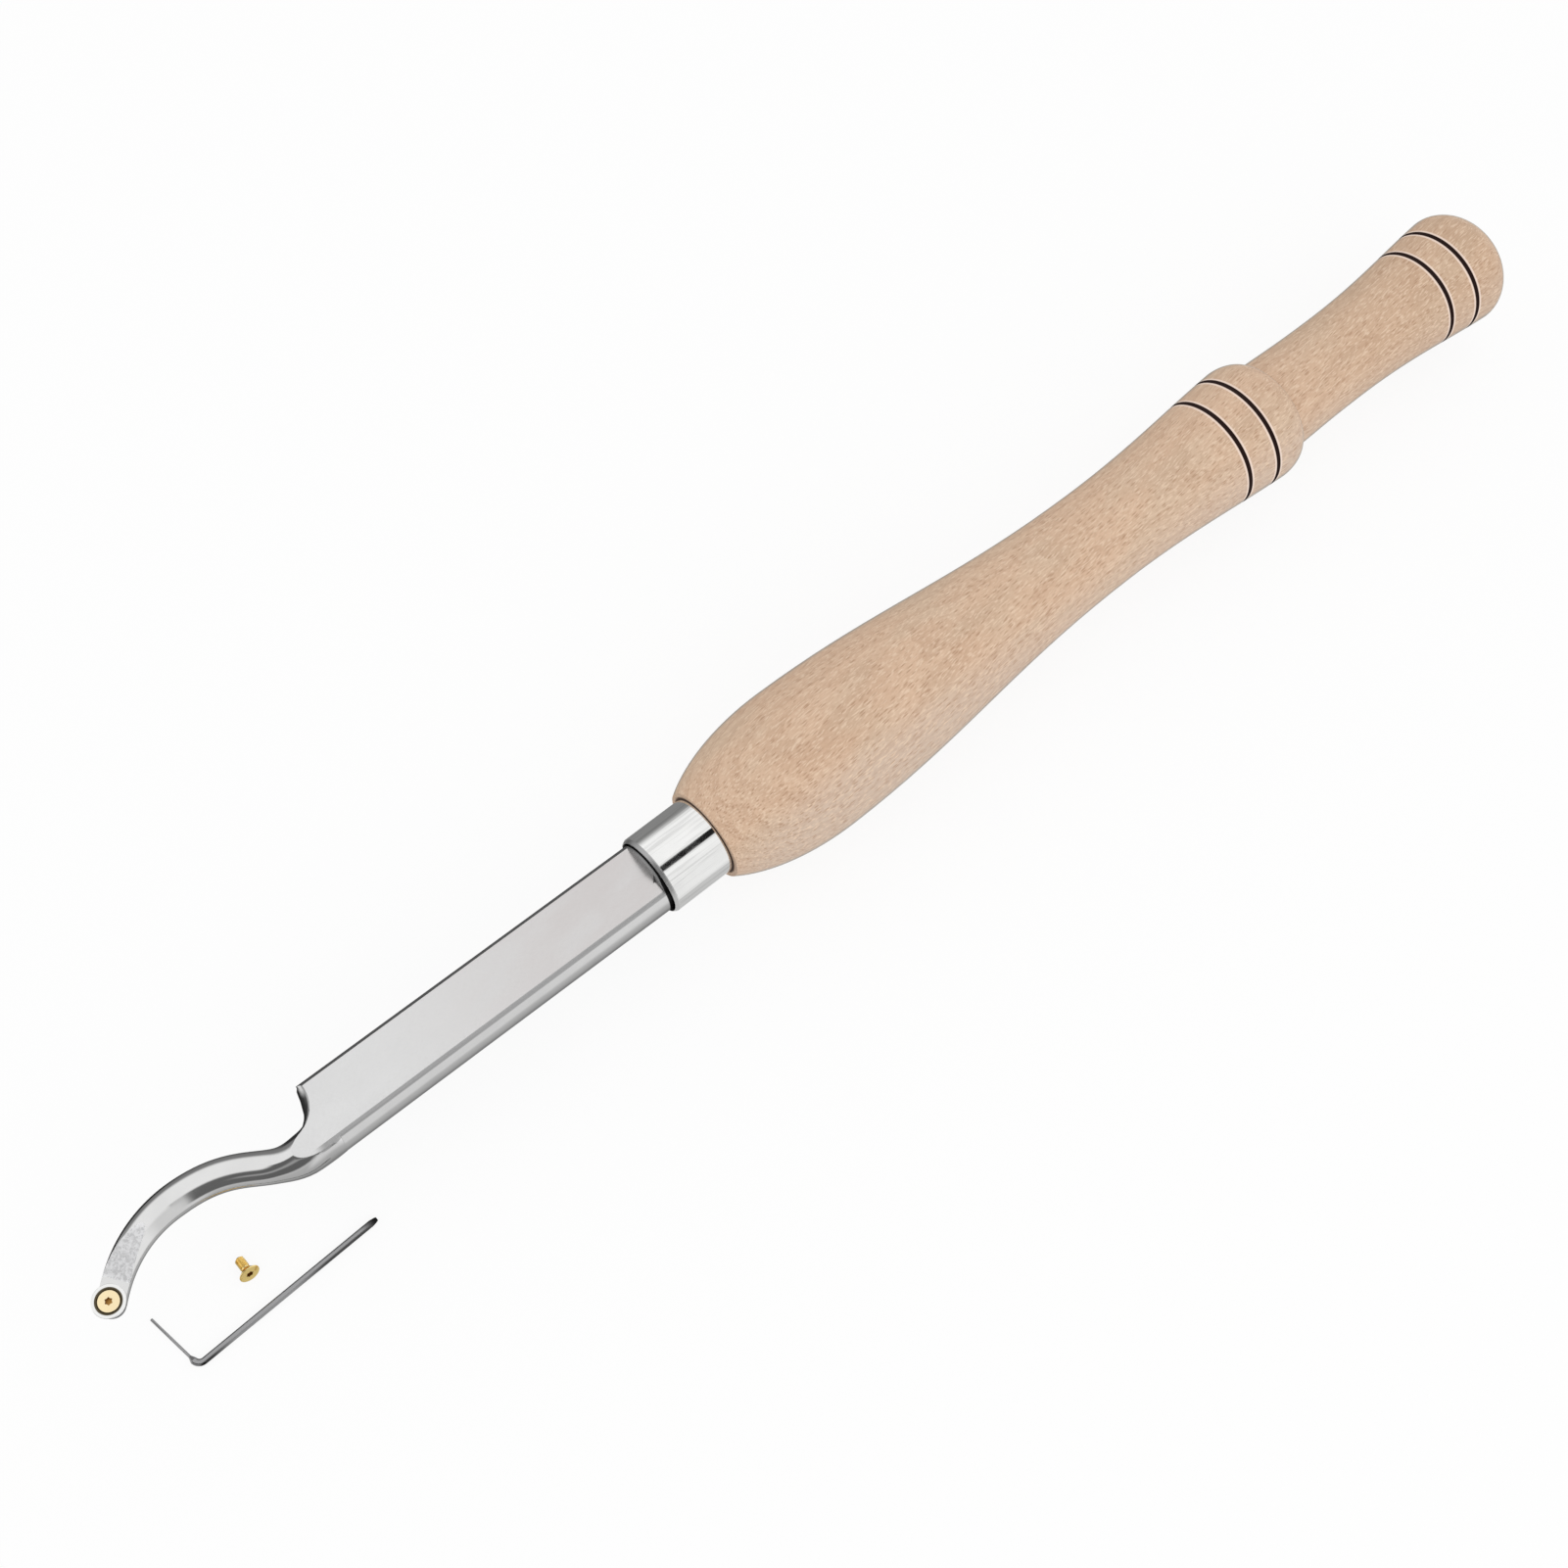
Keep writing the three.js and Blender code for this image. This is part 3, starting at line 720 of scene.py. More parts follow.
def bar_finish(bar, front):
    """Polished sides and neck, cloudy ground flats, and a dark ring of painted shadow in the
    ferrule's mouth.
    """
    finish, tree, inputs, spot, steel, rough = metal_finish(
        "ground_bar", bar.steel, (0.5, 6.0, 6.0), 0.3, (0.07, 0.11), 0.03, place(0),
    )
    upright = turned(tree, object_millimetres(tree, place(front)), bar.lean)
    along, beside, above = split_up(tree, upright)
    level = calculate(tree, "ABSOLUTE", above)
    half = bar.flats / MM / 2
    flat = ramp(tree, level, half - 0.04, half - 0.01)
    clouds = noise(tree, stretched(tree, spot, (0.06, 0.16, 1.0)), 1.0, 4.0, 0.6)
    clouds = ramp(tree, clouds, 0.3, 0.7)
    grain = noise(tree, stretched(tree, spot, (1.2, 9.0, 1.0)), 1.0, 2.0, 0.7)
    ground = cover(
        tree, bar.flat,
        (ramp(tree, along, -75.0, -13.0), bar.flat_root),
        (times(tree, clouds, 0.5), tinted(bar.flat, 0.93)),
        (ramp(tree, grain, 0.4, 0.75, 0.0, 0.18), tinted(bar.flat_root, 0.75)),
    )
    step = -bar.round_length / MM
    foot = step - bar.flat_length / MM
    edge_at = (bar.edge - math.sqrt(bar.bar**2 - bar.flats**2) / 2) / MM
    # Painted shade on the flats' rounded edges, which are also made rougher below
    strip = times(
        tree, ramp(tree, level, half - 0.6, half - 0.4),
        ramp(tree, along, foot - 6, foot - 3),
    )
    on_edge = ramp(tree, beside, edge_at + 0.06, edge_at - 0.06)
    strip = times(tree, strip, most(tree, minus(tree, 1.0, flat), on_edge))
    # Painted shadow on the round stretch in the ferrule's mouth
    painted_mouth_shade = ramp(tree, along, step - 0.03, step - 0.004)
    # Painted shadow, nearly black, reaching further out of the mouth on the -Y side
    deep = ramp(tree, beside, -2.5, -6.0, step + 0.5, step + 0.08)
    deep = ramp(tree, minus(tree, along, deep), -0.04, 0.04)
    steel = cover(
        tree, steel, (flat, ground), (strip, bar.painted_edge_shade), (painted_mouth_shade, bar.shoulder),
        (deep, tinted(bar.shoulder, 0.06)),
    )
    for mask, dullness in ((flat, 0.16), (painted_mouth_shade, 0.35), (strip, 0.3)):
        rough = plus(tree, rough, times(tree, mask, dullness))
    fill(tree, inputs, {"Base Color": steel, "Roughness": rough, "Specular Tint": bar.outline})
    return finish


def ramp_finish(bar):
    """The matt ground ramp and seat with its speckle."""
    finish, tree, inputs, spot, steel, _ = metal_finish(
        "matt_ramp", bar.ramp, (1.0, 1.0, 1.0), 0.1, (0.4, 0.5), 0.1, TIP,
    )
    speckle = ramp(tree, noise(tree, spot, 1.5, 3.0, 0.75), 0.42, 0.60, 0.0, 0.8)
    fill(tree, inputs, {"Base Color": cover(tree, steel, (speckle, tinted(bar.ramp, 0.7)))})
    return finish


def ferrule_finish(sizes):
    """Mirror-bright steel with faint darker streaks."""
    finish, tree, inputs, spot, steel, _ = metal_finish(
        "polished_steel", sizes.steel, (6.0, 0.6, 0.6), 0.2, (0.05, 0.1), 0.03, place(0),
    )
    streaks = noise(tree, stretched(tree, spot, (0.04, 1.3, 1.3)), 1.0, 3.0, 0.65)
    streaks = ramp(tree, streaks, 0.46, 0.64)
    fill(tree, inputs, {"Base Color": cover(tree, steel, (streaks, tinted(sizes.steel, 0.84)))})
    return finish


def bevel_finish(sizes):
    """The ferrule's turned front, painted grey as shade and painted light on both sides, where it
    catches the light.
    """
    finish, tree, inputs, spot, steel, _ = metal_finish(
        "turned_front_painted_light_and_shade", sizes.front, (6.0, 0.6, 0.6), 0.2, (0.40, 0.50), 0.05, place(0),
    )
    beside = split_up(tree, spot)[1]
    # Painted light: both sides of the front bevel are painted in the bright steel colour
    painted_light = most(tree, ramp(tree, beside, -3.0, -6.0), ramp(tree, beside, 7.0, 8.5))
    fill(tree, inputs, {"Base Color": cover(tree, steel, (painted_light, sizes.steel))})
    return finish


def loose_finish(screw, origin):
    """Deeper gilt with brown spots and a darker outline."""
    finish, tree, inputs, spot, gilt, _ = metal_finish(
        "loose_gilt", screw.loose, (3.0, 3.0, 3.0), 0.1, (0.2, 0.3), 0.1, origin,
    )
    spots = ramp(tree, noise(tree, spot, 1.1, 2.0), 0.54, 0.66, 0.0, 0.85)
    gilt = cover(tree, gilt, (spots, screw.tarnish))
    fill(tree, inputs, {"Base Color": gilt, "Specular Tint": screw.tarnish})
    return finish


def key_finish(sizes, origin):
    """Dark steel, nearly black at the long arm's end, and with painted shade along its shaded side.
    """
    finish, tree, inputs, spot, steel, _ = metal_finish(
        "dark_key_steel", sizes.steel, (0.5, 5.0, 5.0), 0.2, (0.22, 0.34), 0.1, origin,
    )
    along, beside, _ = split_up(tree, turned(tree, spot, -sizes.turn))
    end, half = sizes.long_arm / MM, sizes.flats / MM / 2
    # Painted shade along one side of the long arm, near the bend and towards its end
    painted_shade_side = ramp(tree, beside, -0.1 * half, -0.75 * half)
    rear = ramp(tree, along, 0.5 * end, 0.72 * end, 0.0, 0.8)
    side = most(tree, rear, ramp(tree, along, 2.0, 9.0, 0.9, 0.0))
    side = most(tree, side, ramp(tree, along, 1.2, 2.2, 1.0, 0.0))
    dark_end_and_shade = most(tree, times(tree, painted_shade_side, side), ramp(tree, along, end - 4.5, end - 0.5))
    fill(tree, inputs, {"Base Color": cover(tree, steel, (dark_end_and_shade, sizes.dark_end_and_shade))})
    return finish


# Operators


class TURNINGTOOL_OT_handle(bpy.types.Operator):
    """Turn the beech handle with its burnt grooves"""

    bl_idname = "turningtool.handle"
    bl_label = "Turned Handle"

    def execute(self, context):
        wood = context.scene.turning_tool.handle
        face, bulb, waist, collar = wood.face / 2, wood.bulb / 2, wood.waist / 2, wood.collar / 2
        shoulder, grip, butt = wood.shoulder / 2, wood.grip / 2, wood.butt / 2
        step_at = wood.collar_at + wood.shoulder_length
        fall, rise = wood.waist_at - wood.bulb_at, wood.collar_at - wood.waist_at
        dip, swell = wood.grip_at - step_at, wood.butt_at - wood.grip_at
        end = wood.length - wood.butt_at
        knots = [
            (0, wood.bore_depth),
            (wood.bore / 2, wood.bore_depth),
            (wood.bore / 2, -wood.tenon_length),
            (wood.tenon / 2, -wood.tenon_length),
            (wood.tenon / 2, 0),
            (face, 0, None, ((bulb - face) * 0.55, wood.bulb_at * 0.2)),
            (bulb, wood.bulb_at, (0, -wood.bulb_at * 0.45), (0, fall * 0.38)),
            (waist, wood.waist_at, (0, -fall * 0.42), (0, rise * 0.42)),
            (collar, wood.collar_at, ((waist - collar) * 0.28, -rise * 0.3),
             (0, wood.shoulder_length * 0.55)),
            (shoulder, step_at, ((collar - shoulder) * 0.55, 0),
             ((grip - shoulder) * 0.35, dip * 0.35)),
            (grip, wood.grip_at, (0, -dip * 0.5), (0, swell * 0.45)),
            (butt, wood.butt_at, ((grip - butt) * 0.3, -swell * 0.3), (0, end * 0.42)),
            (0, wood.length, (butt * 0.72, 0), None),
        ]
        piece = lathe("turned_handle", knots, steps=128, smoothness=18)
        for middle in groove_places(wood):
            self.turn_groove(piece, middle, wood.groove_width / 2, wood.groove_depth)
        lay_along_handle(piece)
        finish_piece(piece, "tool", ["handle"], beech_finish(wood))
        return {"FINISHED"}

    def turn_groove(self, piece, middle, half, depth):
        """Cut rings across the groove and draw them in."""
        open_mesh(piece)
        for offset in (-1, -0.8, -0.5, 0, 0.5, 0.8, 1):
            cut_at(middle + offset * half)
        shape = bmesh.from_edit_mesh(piece.data)
        rings = {}
        for corner in shape.verts:
            if abs(corner.co.z - middle) < half * 0.99:
                rings[round(corner.co.z / MM, 3)] = corner.co.xy.length
        for height, radius in rings.items():
            off = abs(height * MM - middle) / half
            kept = 1 - depth * (1 - off * off) ** 0.7 / radius
            pick(piece, "VERT", lambda corner: round(corner.co.z / MM, 3) == height)
            resize((kept, kept, 1), (0, 0, height * MM))
        close_mesh()


class TURNINGTOOL_OT_ferrule(bpy.types.Operator):
    """Turn the polished ferrule"""

    bl_idname = "turningtool.ferrule"
    bl_label = "Ferrule"

    def execute(self, context):
        sizes = context.scene.turning_tool.ferrule
        back = -0.05 * MM
        front = -CLEARANCE - sizes.length
        outer, inner = sizes.outside / 2, sizes.inside / 2
        edge, chamfer = 0.12 * MM, 0.25 * MM
        knots = [
            (inner, front + chamfer),
            (inner + chamfer, front),
            (outer - sizes.bevel_depth - edge, front),
            (outer - sizes.bevel_depth, front + edge / 2),
            (outer - edge / 2, front + sizes.bevel_length - edge),
            (outer, front + sizes.bevel_length + edge),
            (outer, back - edge),
            (outer - edge, back),
            (inner, back),
            (inner, front + chamfer),
        ]
        piece = lathe("polished_ferrule", knots, steps=128)
        lay_along_handle(piece)
        finish_piece(piece, "tool", ["ferrule"], ferrule_finish(sizes), 12)
        # Painted light and shade on the front bevel
        paint(piece, bevel_finish(sizes), lambda face: face.normal.x < -0.2)
        # Painted shade on the ferrule's inside faces
        painted_shade = painted_shade_finish("painted_shade_bore", sizes.shade, (0.5, 0.6), place(0))
        paint(piece, painted_shade, lambda face: face.normal.yz.dot(
            face.calc_center_median().yz - place(0).yz) < -0.2 * inner)
        return {"FINISHED"}


def smooth_step(amount):
    inside = min(max(amount, 0.0), 1.0)
    return inside * inside * (3 - 2 * inside)


def bezier(points, amount):
    """A place on a cubic curve and its direction there."""
    start, first, second, end = (Vector(point) for point in points)
    rest = 1 - amount
    spot = start * rest**3 + first * 3 * rest**2 * amount + second * 3 * rest * amount**2
    spot += end * amount**3
    way = (first - start) * rest**2 + (second - first) * 2 * rest * amount
    way += (end - second) * amount**2
    return spot, math.atan2(way.y, way.x)


def flats_end(tool):
    """How far ahead of the wood face the bar's flats end."""
    return -CLEARANCE - tool.ferrule.length - tool.bar.round_length - tool.bar.flat_length


def neck_rings(bar, start):
    """Rings (centre, turn, half width, half height) from the end of the flats to the tip."""
    thick = bar.bar / 2
    rings = []

    def ring(ahead, side, way, width):
        roundness = smooth_step(ahead / bar.rounded_at)
        height = thick + (min(width, bar.neck / 2) - thick) * roundness
        rings.append((place(start - ahead, side), -way, width, height))

    hollow_steps, neck_steps = 12, 26
    hollow = bar.bar - bar.root
    for step in range(hollow_steps):
        corner = step / hollow_steps * math.pi / 2
        cut = hollow * math.sin(corner)
        ring(bar.root_at * (1 - math.cos(corner)), -cut / 2, 0, thick - cut / 2)
    low = (bar.root - bar.bar) / 2
    rise, fall = bar.crest_at - bar.root_at, bar.reach - bar.crest_at
    out = [
        (bar.root_at, low), (bar.root_at + rise * 0.38, low),
        (bar.crest_at - rise * 0.58, bar.crest), (bar.crest_at, bar.crest),
    ]
    back = [
        (bar.crest_at, bar.crest), (bar.crest_at + fall * 0.4, bar.crest),
        (bar.reach - fall * 0.4 * math.cos(bar.tip_angle),
         -bar.swing + fall * 0.4 * math.sin(bar.tip_angle)),
        (bar.reach, -bar.swing),
    ]
    for step in range(neck_steps):
        amount = step / neck_steps
        (ahead, side), way = bezier(out, amount)
        width = bar.root + (bar.neck - bar.root) * smooth_step(amount / 0.3)
        ring(ahead, side, way, width / 2)
    for step in range(neck_steps + 1):
        amount = step / neck_steps
        (ahead, side), way = bezier(back, amount)
        ring(ahead, side, way, (bar.neck + (bar.tip - bar.neck) * amount) / 2)
    return rings


def extrude_rings(rings):
    """Extrude the selected end face from ring to ring."""
    for (at, way, wide, high), (to, next_way, next_wide, next_high) in zip(rings, rings[1:]):
        extrude(to - at)
        if way:
            turn(-way, to)
        growth = (1, next_wide / wide, next_high / high)
        if growth != (1, 1, 1):
            resize(growth, to)
        if next_way:
            turn(next_way, to)


class TURNINGTOOL_OT_bar(bpy.types.Operator):
    """Draw the bar from its tang to the swan neck, grind its flats and cut the insert's seat"""

    bl_idname = "turningtool.bar"
    bl_label = "Swan Neck Bar"

    wall_steps = 12

    def execute(self, context):
        tool = context.scene.turning_tool
        bar = tool.bar
        front = -CLEARANCE - tool.ferrule.length
        seat_end = -tool.handle.tenon_length - CLEARANCE
        tang_end = seat_end + CLEARANCE + bar.tang_length
        step_at = front - bar.round_length
        neck_at = place(flats_end(tool)).x + HAIR
        tang, thick, half, chamfer = bar.tang / 2, bar.bar / 2, bar.flats / 2, 0.6 * MM
        clear_selection()
        bpy.ops.mesh.primitive_circle_add(
            vertices=64, radius=tang - chamfer, fill_type="NGON",
            location=place(tang_end), rotation=(0, math.pi / 2, 0),
        )
        piece = bpy.context.object
        piece.name = "swan_neck_bar"
        bpy.ops.object.transform_apply(location=True, rotation=True, scale=True)
        plain = [
            (tang_end, tang - chamfer), (tang_end - chamfer, tang), (seat_end, tang),
            (seat_end, thick - chamfer), (seat_end - chamfer, thick), (step_at, thick),
            (step_at - HAIR, thick),
        ]
        rings = [(place(at), 0, wide, wide) for at, wide in plain]
        open_mesh(piece)
        extrude_rings(rings + neck_rings(bar, flats_end(tool)))
        for side in (-1, 1):
            height = AXIS_Z + side * half
            cut_at(height)
            pick(piece, "VERT", lambda corner: (corner.co.z - height) * side > 0
                 and corner.co.x < place(step_at).x - HAIR / 2)
            resize((1, 1, 0), (0, 0, height))
        pick_all()
        merge(2 * HAIR)
        for side in (-1, 1):
            height = AXIS_Z + side * half
            pick(piece, "FACE", lambda face: all(
                abs(corner.co.z - height) < MERGED for corner in face.verts
            ))
            bpy.ops.mesh.dissolve_faces()
        self.swell_wall(piece, neck_at, bar.wall_bulge)
        pick(piece, "VERT", lambda corner: corner.co.x < place(front).x - HAIR)
        turn(-bar.lean, place(front))
        face_out(piece)
        close_mesh()
        end = place(step_at).x - 5 * HAIR
        for width, steps, near in ((bar.edge, 4, True), (bar.far_edge, 2, False)):
            break_edges(piece, lambda edge: all(
                abs(abs(corner.co.z - AXIS_Z) - half) < HAIR and corner.co.x < end
                for corner in edge.verts
            ) and near == all(
                corner.co.y < AXIS_Y - bar.tip / 2 and corner.co.x > neck_at
                for corner in edge.verts
            ), width, steps, sharp=20)
        self.cut_seat(piece, bar, tool.screw.thread / 2 + CLEARANCE)
        finish_piece(piece, "tool", ["shaft"], bar_finish(bar, front), 28)
        self.paint_ramp(piece, bar)
        # Painted shade on the step's face by the ferrule
        painted_shade = painted_shade_finish("painted_shade_shoulder", bar.shoulder, (0.45, 0.5), place(step_at), 0.05)
        paint(piece, painted_shade, lambda face: face.normal.x < -0.9 and abs(
            face.calc_center_median().x - place(step_at).x) < MM / 4)
        return {"FINISHED"}

    def swell_wall(self, piece, start, bulge):
        """Push the hollow's steep wall forward, on a patch that narrows from step to step."""
        for step in range(self.wall_steps):
            part = step / self.wall_steps
            deep = 4.8 * math.sqrt(1 - part) * MM
            near, far = (4.5 * part - 0.5) * MM, (8.4 - 1.6 * part) * MM
            pick(piece, "VERT", lambda corner: start - 4 * MM < corner.co.x < start
                 and abs(corner.co.z - AXIS_Z) < deep and near < corner.co.y - AXIS_Y < far)
            bpy.ops.transform.translate(value=(-bulge / self.wall_steps, 0, 0))

    def cut_seat(self, piece, bar, hole):
        """Add the round nose, then grind the seat and ramp and drill the hole."""
        radius = bar.tip / 2
        seat = SEAT_Z - CLEARANCE - AXIS_Z
        nose = lathe("nose", [
            (0, -radius),
            (radius * 0.55, -radius, None, (radius * 0.3, 0)),
            (radius, seat, (0, -radius * 0.6), None),
            (radius, bar.neck / 2),
            (0, bar.neck / 2),
        ], steps=64, smoothness=6)
        tip = Vector((TIP.x, TIP.y, AXIS_Z))
        put_at(nose, Matrix.Translation(tip))
        combine(piece, nose, "UNION")
        deep, wide, back = 10 * MM, 16 * MM, 8 * MM
        ramp_end = bar.seat_length + bar.ramp_length
        cutter = prism("seat", [
            (-back, seat), (bar.seat_length, seat), (ramp_end, bar.neck / 2), (ramp_end, deep),
            (-back, deep),
        ], wide)
        put_at(cutter, Matrix.Translation(tip) @ Matrix.Rotation(bar.seat_angle - bar.lean, 4, "Z"))
        combine(piece, cutter, "DIFFERENCE")
        clear_selection()
        bpy.ops.mesh.primitive_cylinder_add(vertices=48, radius=hole, depth=30 * MM, location=tip)
        combine(piece, bpy.context.object, "DIFFERENCE")

    def paint_ramp(self, piece, bar):
        """Give the sloping face behind the insert its matt finish."""
        rise = SEAT_Z - CLEARANCE - AXIS_Z
        way = bar.seat_angle - bar.lean
        climb = math.atan2(bar.neck / 2 - rise, bar.ramp_length)
        up = Vector((
            -math.sin(climb) * math.cos(way), -math.sin(climb) * math.sin(way), math.cos(climb),
        ))
        near = bar.seat_length + bar.ramp_length + MM
        paint(piece, ramp_finish(bar), lambda face: face.normal.dot(up) > 0.9999
              and (face.calc_center_median() - TIP).xy.length < near)


class TURNINGTOOL_OT_insert(bpy.types.Operator):
    """Turn the round carbide insert"""

    bl_idname = "turningtool.insert"
    bl_label = "Round Insert"

    def execute(self, context):
        sizes = context.scene.turning_tool.insert
        radius, bore, sink = sizes.diameter / 2, sizes.bore / 2, sizes.sink / 2
        foot = radius - sizes.thickness * math.tan(sizes.relief)
        top, edge = sizes.thickness, 0.04 * MM
        knots = [
            (bore, 0),
            (foot - edge, 0),
            (foot, edge),
            (radius, top - edge),
            (radius - edge, top),
            (sink + 0.25 * MM, top - 0.03 * MM),
            (sink, top - 0.06 * MM),
            (bore, top - sizes.sink_depth),
            (bore, 0),
        ]
        piece = lathe("round_insert", knots, steps=128)
        put_at(piece, Matrix.Translation((TIP.x, TIP.y, SEAT_Z)))
        finish = metal_finish(
            "ground_carbide", sizes.carbide, (4.0, 4.0, 4.0), 0.1, (0.12, 0.22), 0.04, TIP,
        )[0]
        finish_piece(piece, "insert", ["carbide_insert"], finish, 12)
        # Painted shade in the sink and bore round the screw
        dark = painted_shade_finish("painted_shade_sink", sizes.shade, (0.4, 0.5), TIP)
        paint(piece, dark, lambda face: face.normal.xy.dot(
            face.calc_center_median().xy - TIP.xy) < -0.2 * bore)
        return {"FINISHED"}


def make_screw(name, screw):
    """A countersunk screw with its head's top at height zero."""
    head, thread, core = screw.head / 2, screw.thread / 2, screw.core / 2
    edge = 0.07 * MM
    tip = -screw.length
    foot = -screw.head_height - 0.1 * MM
    knots = [
        (0, tip),
        (core - 0.25 * MM, tip),
        (core, tip + 0.25 * MM),
        (core, foot),
        (thread, -screw.head_height + 0.03 * MM),
        (head, -screw.rim),
        (head, -edge),
        (head - edge, 0),
        (0, 0),
    ]
    piece = lathe(name, knots, steps=64)
    flank, buried, first = screw.pitch * 0.42, core - 0.1 * MM, tip + 0.3 * MM
    ridge = outline("ridge", [
        (buried, first - flank), (thread, first), (buried, first + flank), (buried, first - flank),
    ])
    open_mesh(ridge)
    merge()
    close_mesh()
    turns = int((foot - tip) / screw.pitch - 0.9)
    modify(ridge, "SCREW", screw_offset=screw.pitch, iterations=turns, steps=24, render_steps=24)
    open_mesh(ridge)
    bpy.ops.mesh.fill_holes(sides=4)
    face_out(ridge)
    close_mesh()
    combine(piece, ridge, "UNION")
    clear_selection()
    corners = 12
    bpy.ops.mesh.primitive_cylinder_add(
        vertices=corners, radius=screw.socket / 2, depth=2 * screw.socket_depth, location=(0, 0, 0),
    )
    socket = bpy.context.object
    open_mesh(socket)
    narrow = screw.valley / screw.socket
    pick(socket, "VERT", lambda corner: round(
        math.atan2(corner.co.y, corner.co.x) / FULL_TURN * corners) % 2)
    resize((narrow, narrow, 1), (0, 0, 0))
    pick(socket, "EDGE", lambda edge: abs(edge.verts[0].co.z - edge.verts[1].co.z) > MM / 10)
    bpy.ops.mesh.bevel(offset=0.12 * MM, segments=3, affect="EDGES")
    close_mesh()
    combine(piece, socket, "DIFFERENCE")
    return piece


class TURNINGTOOL_OT_screws(bpy.types.Operator):
    """Make the insert's screw and the loose spare one"""

    bl_idname = "turningtool.screws"
    bl_label = "Gilt Screws"

    def execute(self, context):
        tool = context.scene.turning_tool
        sizes = tool.screw
        finish = metal_finish("gilt_plating", sizes.gilt, (3.0, 3.0, 3.0), 0.1, (0.2, 0.3), 0.1)[0]
        held = make_screw("gilt_screw", sizes)
        work_on(held)
        bpy.ops.object.duplicate(linked=False)
        loose = bpy.context.object
        loose.name = "loose_screw"
        held_top = Vector((TIP.x, TIP.y, SCREW_TOP_Z))
        put_at(held, Matrix.Translation(held_top))
        pitch = math.atan2((sizes.head - sizes.thread) / 2, sizes.length - 0.3 * MM - sizes.rim)
        spot = place(flats_end(tool) - sizes.spare_ahead, -sizes.spare_beside)
        spot.z = sizes.head / 2 * math.cos(pitch) + sizes.rim * math.sin(pitch)
        lean = Matrix.Rotation(math.pi / 2 - pitch, 4, "X")
        put_at(loose, Matrix.Translation(spot) @ lean)
        # Painted shade in the sockets of both screws
        dark = painted_shade_finish("socket_shade", sizes.shade, (0.4, 0.5))
        finish_piece(held, "screw", ["insert_screw"], finish)
        finish_piece(loose, "spare", ["spare_screw"], loose_finish(sizes, spot))
        upright = Vector((0, 0, 1))
        for piece, top, up in ((held, held_top, upright), (loose, spot, lean @ upright)):
            paint(piece, dark, lambda face: self.in_socket(face, top, up, sizes))
        return {"FINISHED"}

    def in_socket(self, face, top, up, sizes):
        """Whether a face is in the socket of a screw with this top and direction."""
        off = face.calc_center_median() - top
        depth = -off.dot(up)
        beside = (off + up * depth).length
        skin = 0.02 * MM
        return skin < depth < sizes.socket_depth + skin and beside < sizes.socket * 0.51


class TURNINGTOOL_OT_key(bpy.types.Operator):
    """Bend the small key"""

    bl_idname = "turningtool.key"
    bl_label = "Bent Key"

    def execute(self, context):
        tool = context.scene.turning_tool
        sizes = tool.key
        radius = sizes.flats / 2 / math.cos(math.pi / 6)
        inset = sizes.bend_radius / math.tan(sizes.bend / 2)
        clear_selection()
        bpy.ops.mesh.primitive_circle_add(vertices=6, radius=radius, fill_type="NGON")
        piece = bpy.context.object
        piece.name = "bent_key"
        put_at(piece, Matrix.Translation((sizes.long_arm, 0, 0))
               @ Matrix.Rotation(math.pi / 2, 4, "Y"))
        open_mesh(piece)
        bpy.ops.mesh.bevel(offset=0.1 * MM, segments=2, affect="VERTICES")
        pick_all()
        end, end_share, first_growth = sizes.long_arm, 0.55, 1.35
        resize((end_share,) * 3, (end, 0, 0))
        for step, growth in ((0.25, first_growth), (0.75, 1 / end_share / first_growth)):
            extrude((-step * sizes.end_taper, 0, 0))
            end -= step * sizes.end_taper
            resize((growth,) * 3, (end, 0, 0))
        extrude((inset - end, 0, 0))
        bpy.ops.mesh.spin(
            steps=14, angle=math.pi - sizes.bend, center=(inset, sizes.bend_radius, 0),
            axis=(0, 0, 1),
        )
        way = Vector((math.cos(sizes.bend), math.sin(sizes.bend), 0))
        taper = 1.2 * MM
        extrude(way * taper)
        resize((sizes.short_flats / sizes.flats,) * 3, way * (inset + taper))
        bpy.ops.transform.translate(value=(0, 0, (sizes.short_flats - sizes.flats) / 2))
        extrude(way * (sizes.short_arm - inset - taper))
        face_out(piece)
        close_mesh()
        spot = place(flats_end(tool) - sizes.corner_ahead, -sizes.corner_beside)
        spot.z = sizes.flats / 2
        put_at(piece, Matrix.Translation(spot) @ Matrix.Rotation(sizes.turn, 4, "Z"))
        finish_piece(piece, "key", ["torx_key"], key_finish(sizes, spot))
        return {"FINISHED"}


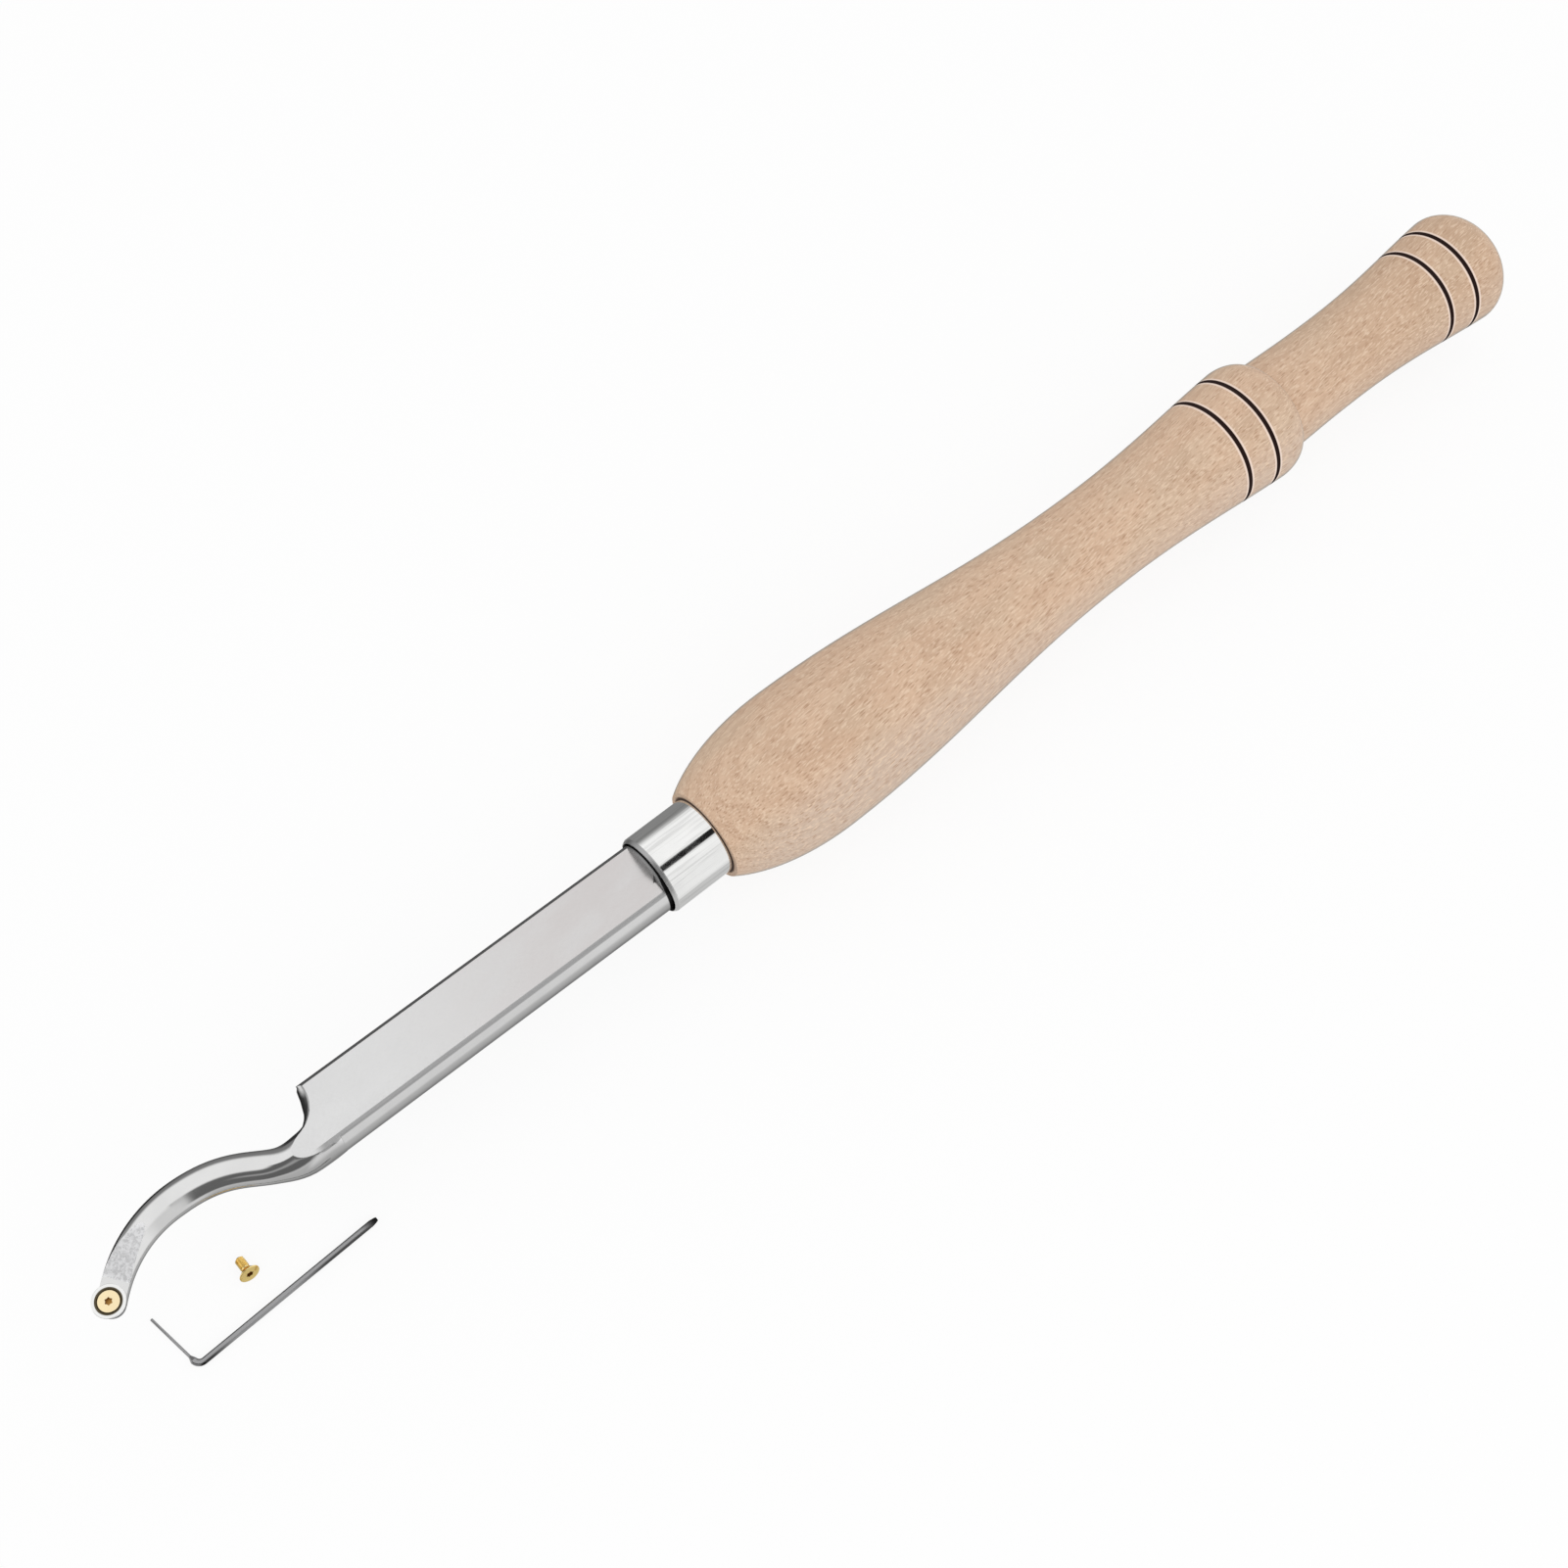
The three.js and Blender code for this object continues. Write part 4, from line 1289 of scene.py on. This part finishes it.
class TURNINGTOOL_OT_stage(bpy.types.Operator):
    """Set up the pale floor, the soft light and the camera"""

    bl_idname = "turningtool.stage"
    bl_label = "Stage"

    def execute(self, context):
        stage = context.scene.turning_tool.stage
        self.lay_floor(stage)
        self.light_world(context.scene, stage)
        clear_selection()
        bpy.ops.object.light_add(type="AREA", location=LAMP_PLACE)
        lamp = bpy.context.object
        lamp.name = "soft_lamp"
        lamp.data.shape = "DISK"
        lamp.data.size = LAMP_SIZE
        lamp.data.energy = stage.lamp
        lamp.rotation_euler = (-lamp.location).to_track_quat("-Z", "Y").to_euler()
        lamp.visible_glossy = False
        way = [math.radians(part) for part in CAMERA_TURN]
        bpy.ops.object.camera_add(location=CAMERA_PLACE, rotation=way)
        camera = bpy.context.object
        camera.name = "camera"
        camera.data.lens = stage.lens
        camera.data.sensor_width = 36
        camera.data.clip_start = 0.01
        context.scene.camera = camera
        context.scene.view_settings.view_transform = "Standard"
        return {"FINISHED"}

    def lay_floor(self, stage):
        clear_selection()
        bpy.ops.mesh.primitive_plane_add(size=12, location=(0, 0, -0.02 * MM))
        floor = bpy.context.object
        floor.name = "pale_floor"
        material = bpy.data.materials.new("pale_floor")
        tree = empty_tree(material)
        rays = put(tree, "LightPath").outputs
        seen = times(tree, rays["Is Camera Ray"], 0.88)
        mirrored = most(tree, rays["Is Glossy Ray"], rays["Is Transmission Ray"])
        diffuse = put(tree, "BsdfDiffuse", {"Color": stage.floor}).outputs[0]
        white = put(tree, "Emission", {"Color": WHITE, "Strength": 1.0}).outputs[0]
        clear = put(tree, "BsdfTransparent").outputs[0]
        mixed = put(tree, "MixShader", {0: seen, 1: diffuse, 2: white}).outputs[0]
        mixed = put(tree, "MixShader", {0: mirrored, 1: mixed, 2: clear}).outputs[0]
        put(tree, "OutputMaterial", {"Surface": mixed})
        floor.data.materials.append(material)

    def light_world(self, scene, stage):
        world = bpy.data.worlds.new("soft_room")
        scene.world = world
        tree = empty_tree(world)
        way = put(tree, "TexCoord").outputs["Generated"]
        rays = put(tree, "LightPath").outputs
        room = self.mirrored_room(tree, way)
        plain, mirrored, white = (
            put(tree, "Background", {"Color": shade, "Strength": strength}).outputs[0]
            for shade, strength in ((WHITE, stage.level), (room, 1.0), (WHITE, 1.0))
        )
        glossy = most(tree, rays["Is Glossy Ray"], rays["Is Transmission Ray"])
        mixed = put(tree, "MixShader", {0: glossy, 1: plain, 2: mirrored}).outputs[0]
        mixed = put(tree, "MixShader", {0: rays["Is Camera Ray"], 1: mixed, 2: white}).outputs[0]
        put(tree, "OutputWorld", {"Surface": mixed})

    def mirrored_room(self, tree, way):
        """The white room with the darker things that polished steel mirrors."""
        east, north, up = split_up(tree, on_vectors(tree, "NORMALIZE", way))
        azimuth = calculate(tree, "DEGREES", calculate(tree, "ARCTAN2", north, east))
        height = calculate(tree, "DEGREES", calculate(tree, "ARCSINE", up))
        room = WHITE
        for centre, half, blur, low, high, soft, shade in MIRRORED_ZONES:
            off = minus(tree, azimuth, centre)
            off = calculate(tree, "ABSOLUTE", calculate(tree, "WRAP", off, 180.0, -180.0))
            beside = ramp(tree, off, half - blur, half + blur, 1.0, 0.0)
            above = ramp(tree, height, low - soft, low + soft)
            below = ramp(tree, height, high - soft, high + soft, 1.0, 0.0)
            mask = times(tree, times(tree, above, below), beside)
            room = cover(tree, room, (mask, (shade, shade, shade, 1.0)))
        return room


class TURNINGTOOL_PT_panel(bpy.types.Panel):
    """Lists the pieces of the turning tool"""

    bl_idname = "TURNINGTOOL_PT_panel"
    bl_label = "Turning Tool"
    bl_space_type = "VIEW_3D"
    bl_region_type = "UI"
    bl_category = "Turning Tool"

    def draw(self, context):
        for step in STEPS:
            self.layout.operator(step.bl_idname)


STEPS = (
    TURNINGTOOL_OT_handle, TURNINGTOOL_OT_ferrule, TURNINGTOOL_OT_bar, TURNINGTOOL_OT_insert,
    TURNINGTOOL_OT_screws, TURNINGTOOL_OT_key, TURNINGTOOL_OT_stage,
)
CLASSES = (
    HandleSettings, FerruleSettings, BarSettings, InsertSettings, ScrewSettings, KeySettings,
    StageSettings, ToolSettings, *STEPS, TURNINGTOOL_PT_panel,
)


def register():
    for kind in CLASSES:
        bpy.utils.register_class(kind)
    bpy.types.Scene.turning_tool = PointerProperty(type=ToolSettings)


def unregister():
    del bpy.types.Scene.turning_tool
    for kind in reversed(CLASSES):
        bpy.utils.unregister_class(kind)


def main():
    register()
    bpy.ops.turningtool.handle()
    bpy.ops.turningtool.ferrule()
    bpy.ops.turningtool.bar()
    bpy.ops.turningtool.insert()
    bpy.ops.turningtool.screws()
    bpy.ops.turningtool.key()
    bpy.ops.turningtool.stage()
    bpy.context.view_layer.update()


if __name__ == "__main__":
    main()
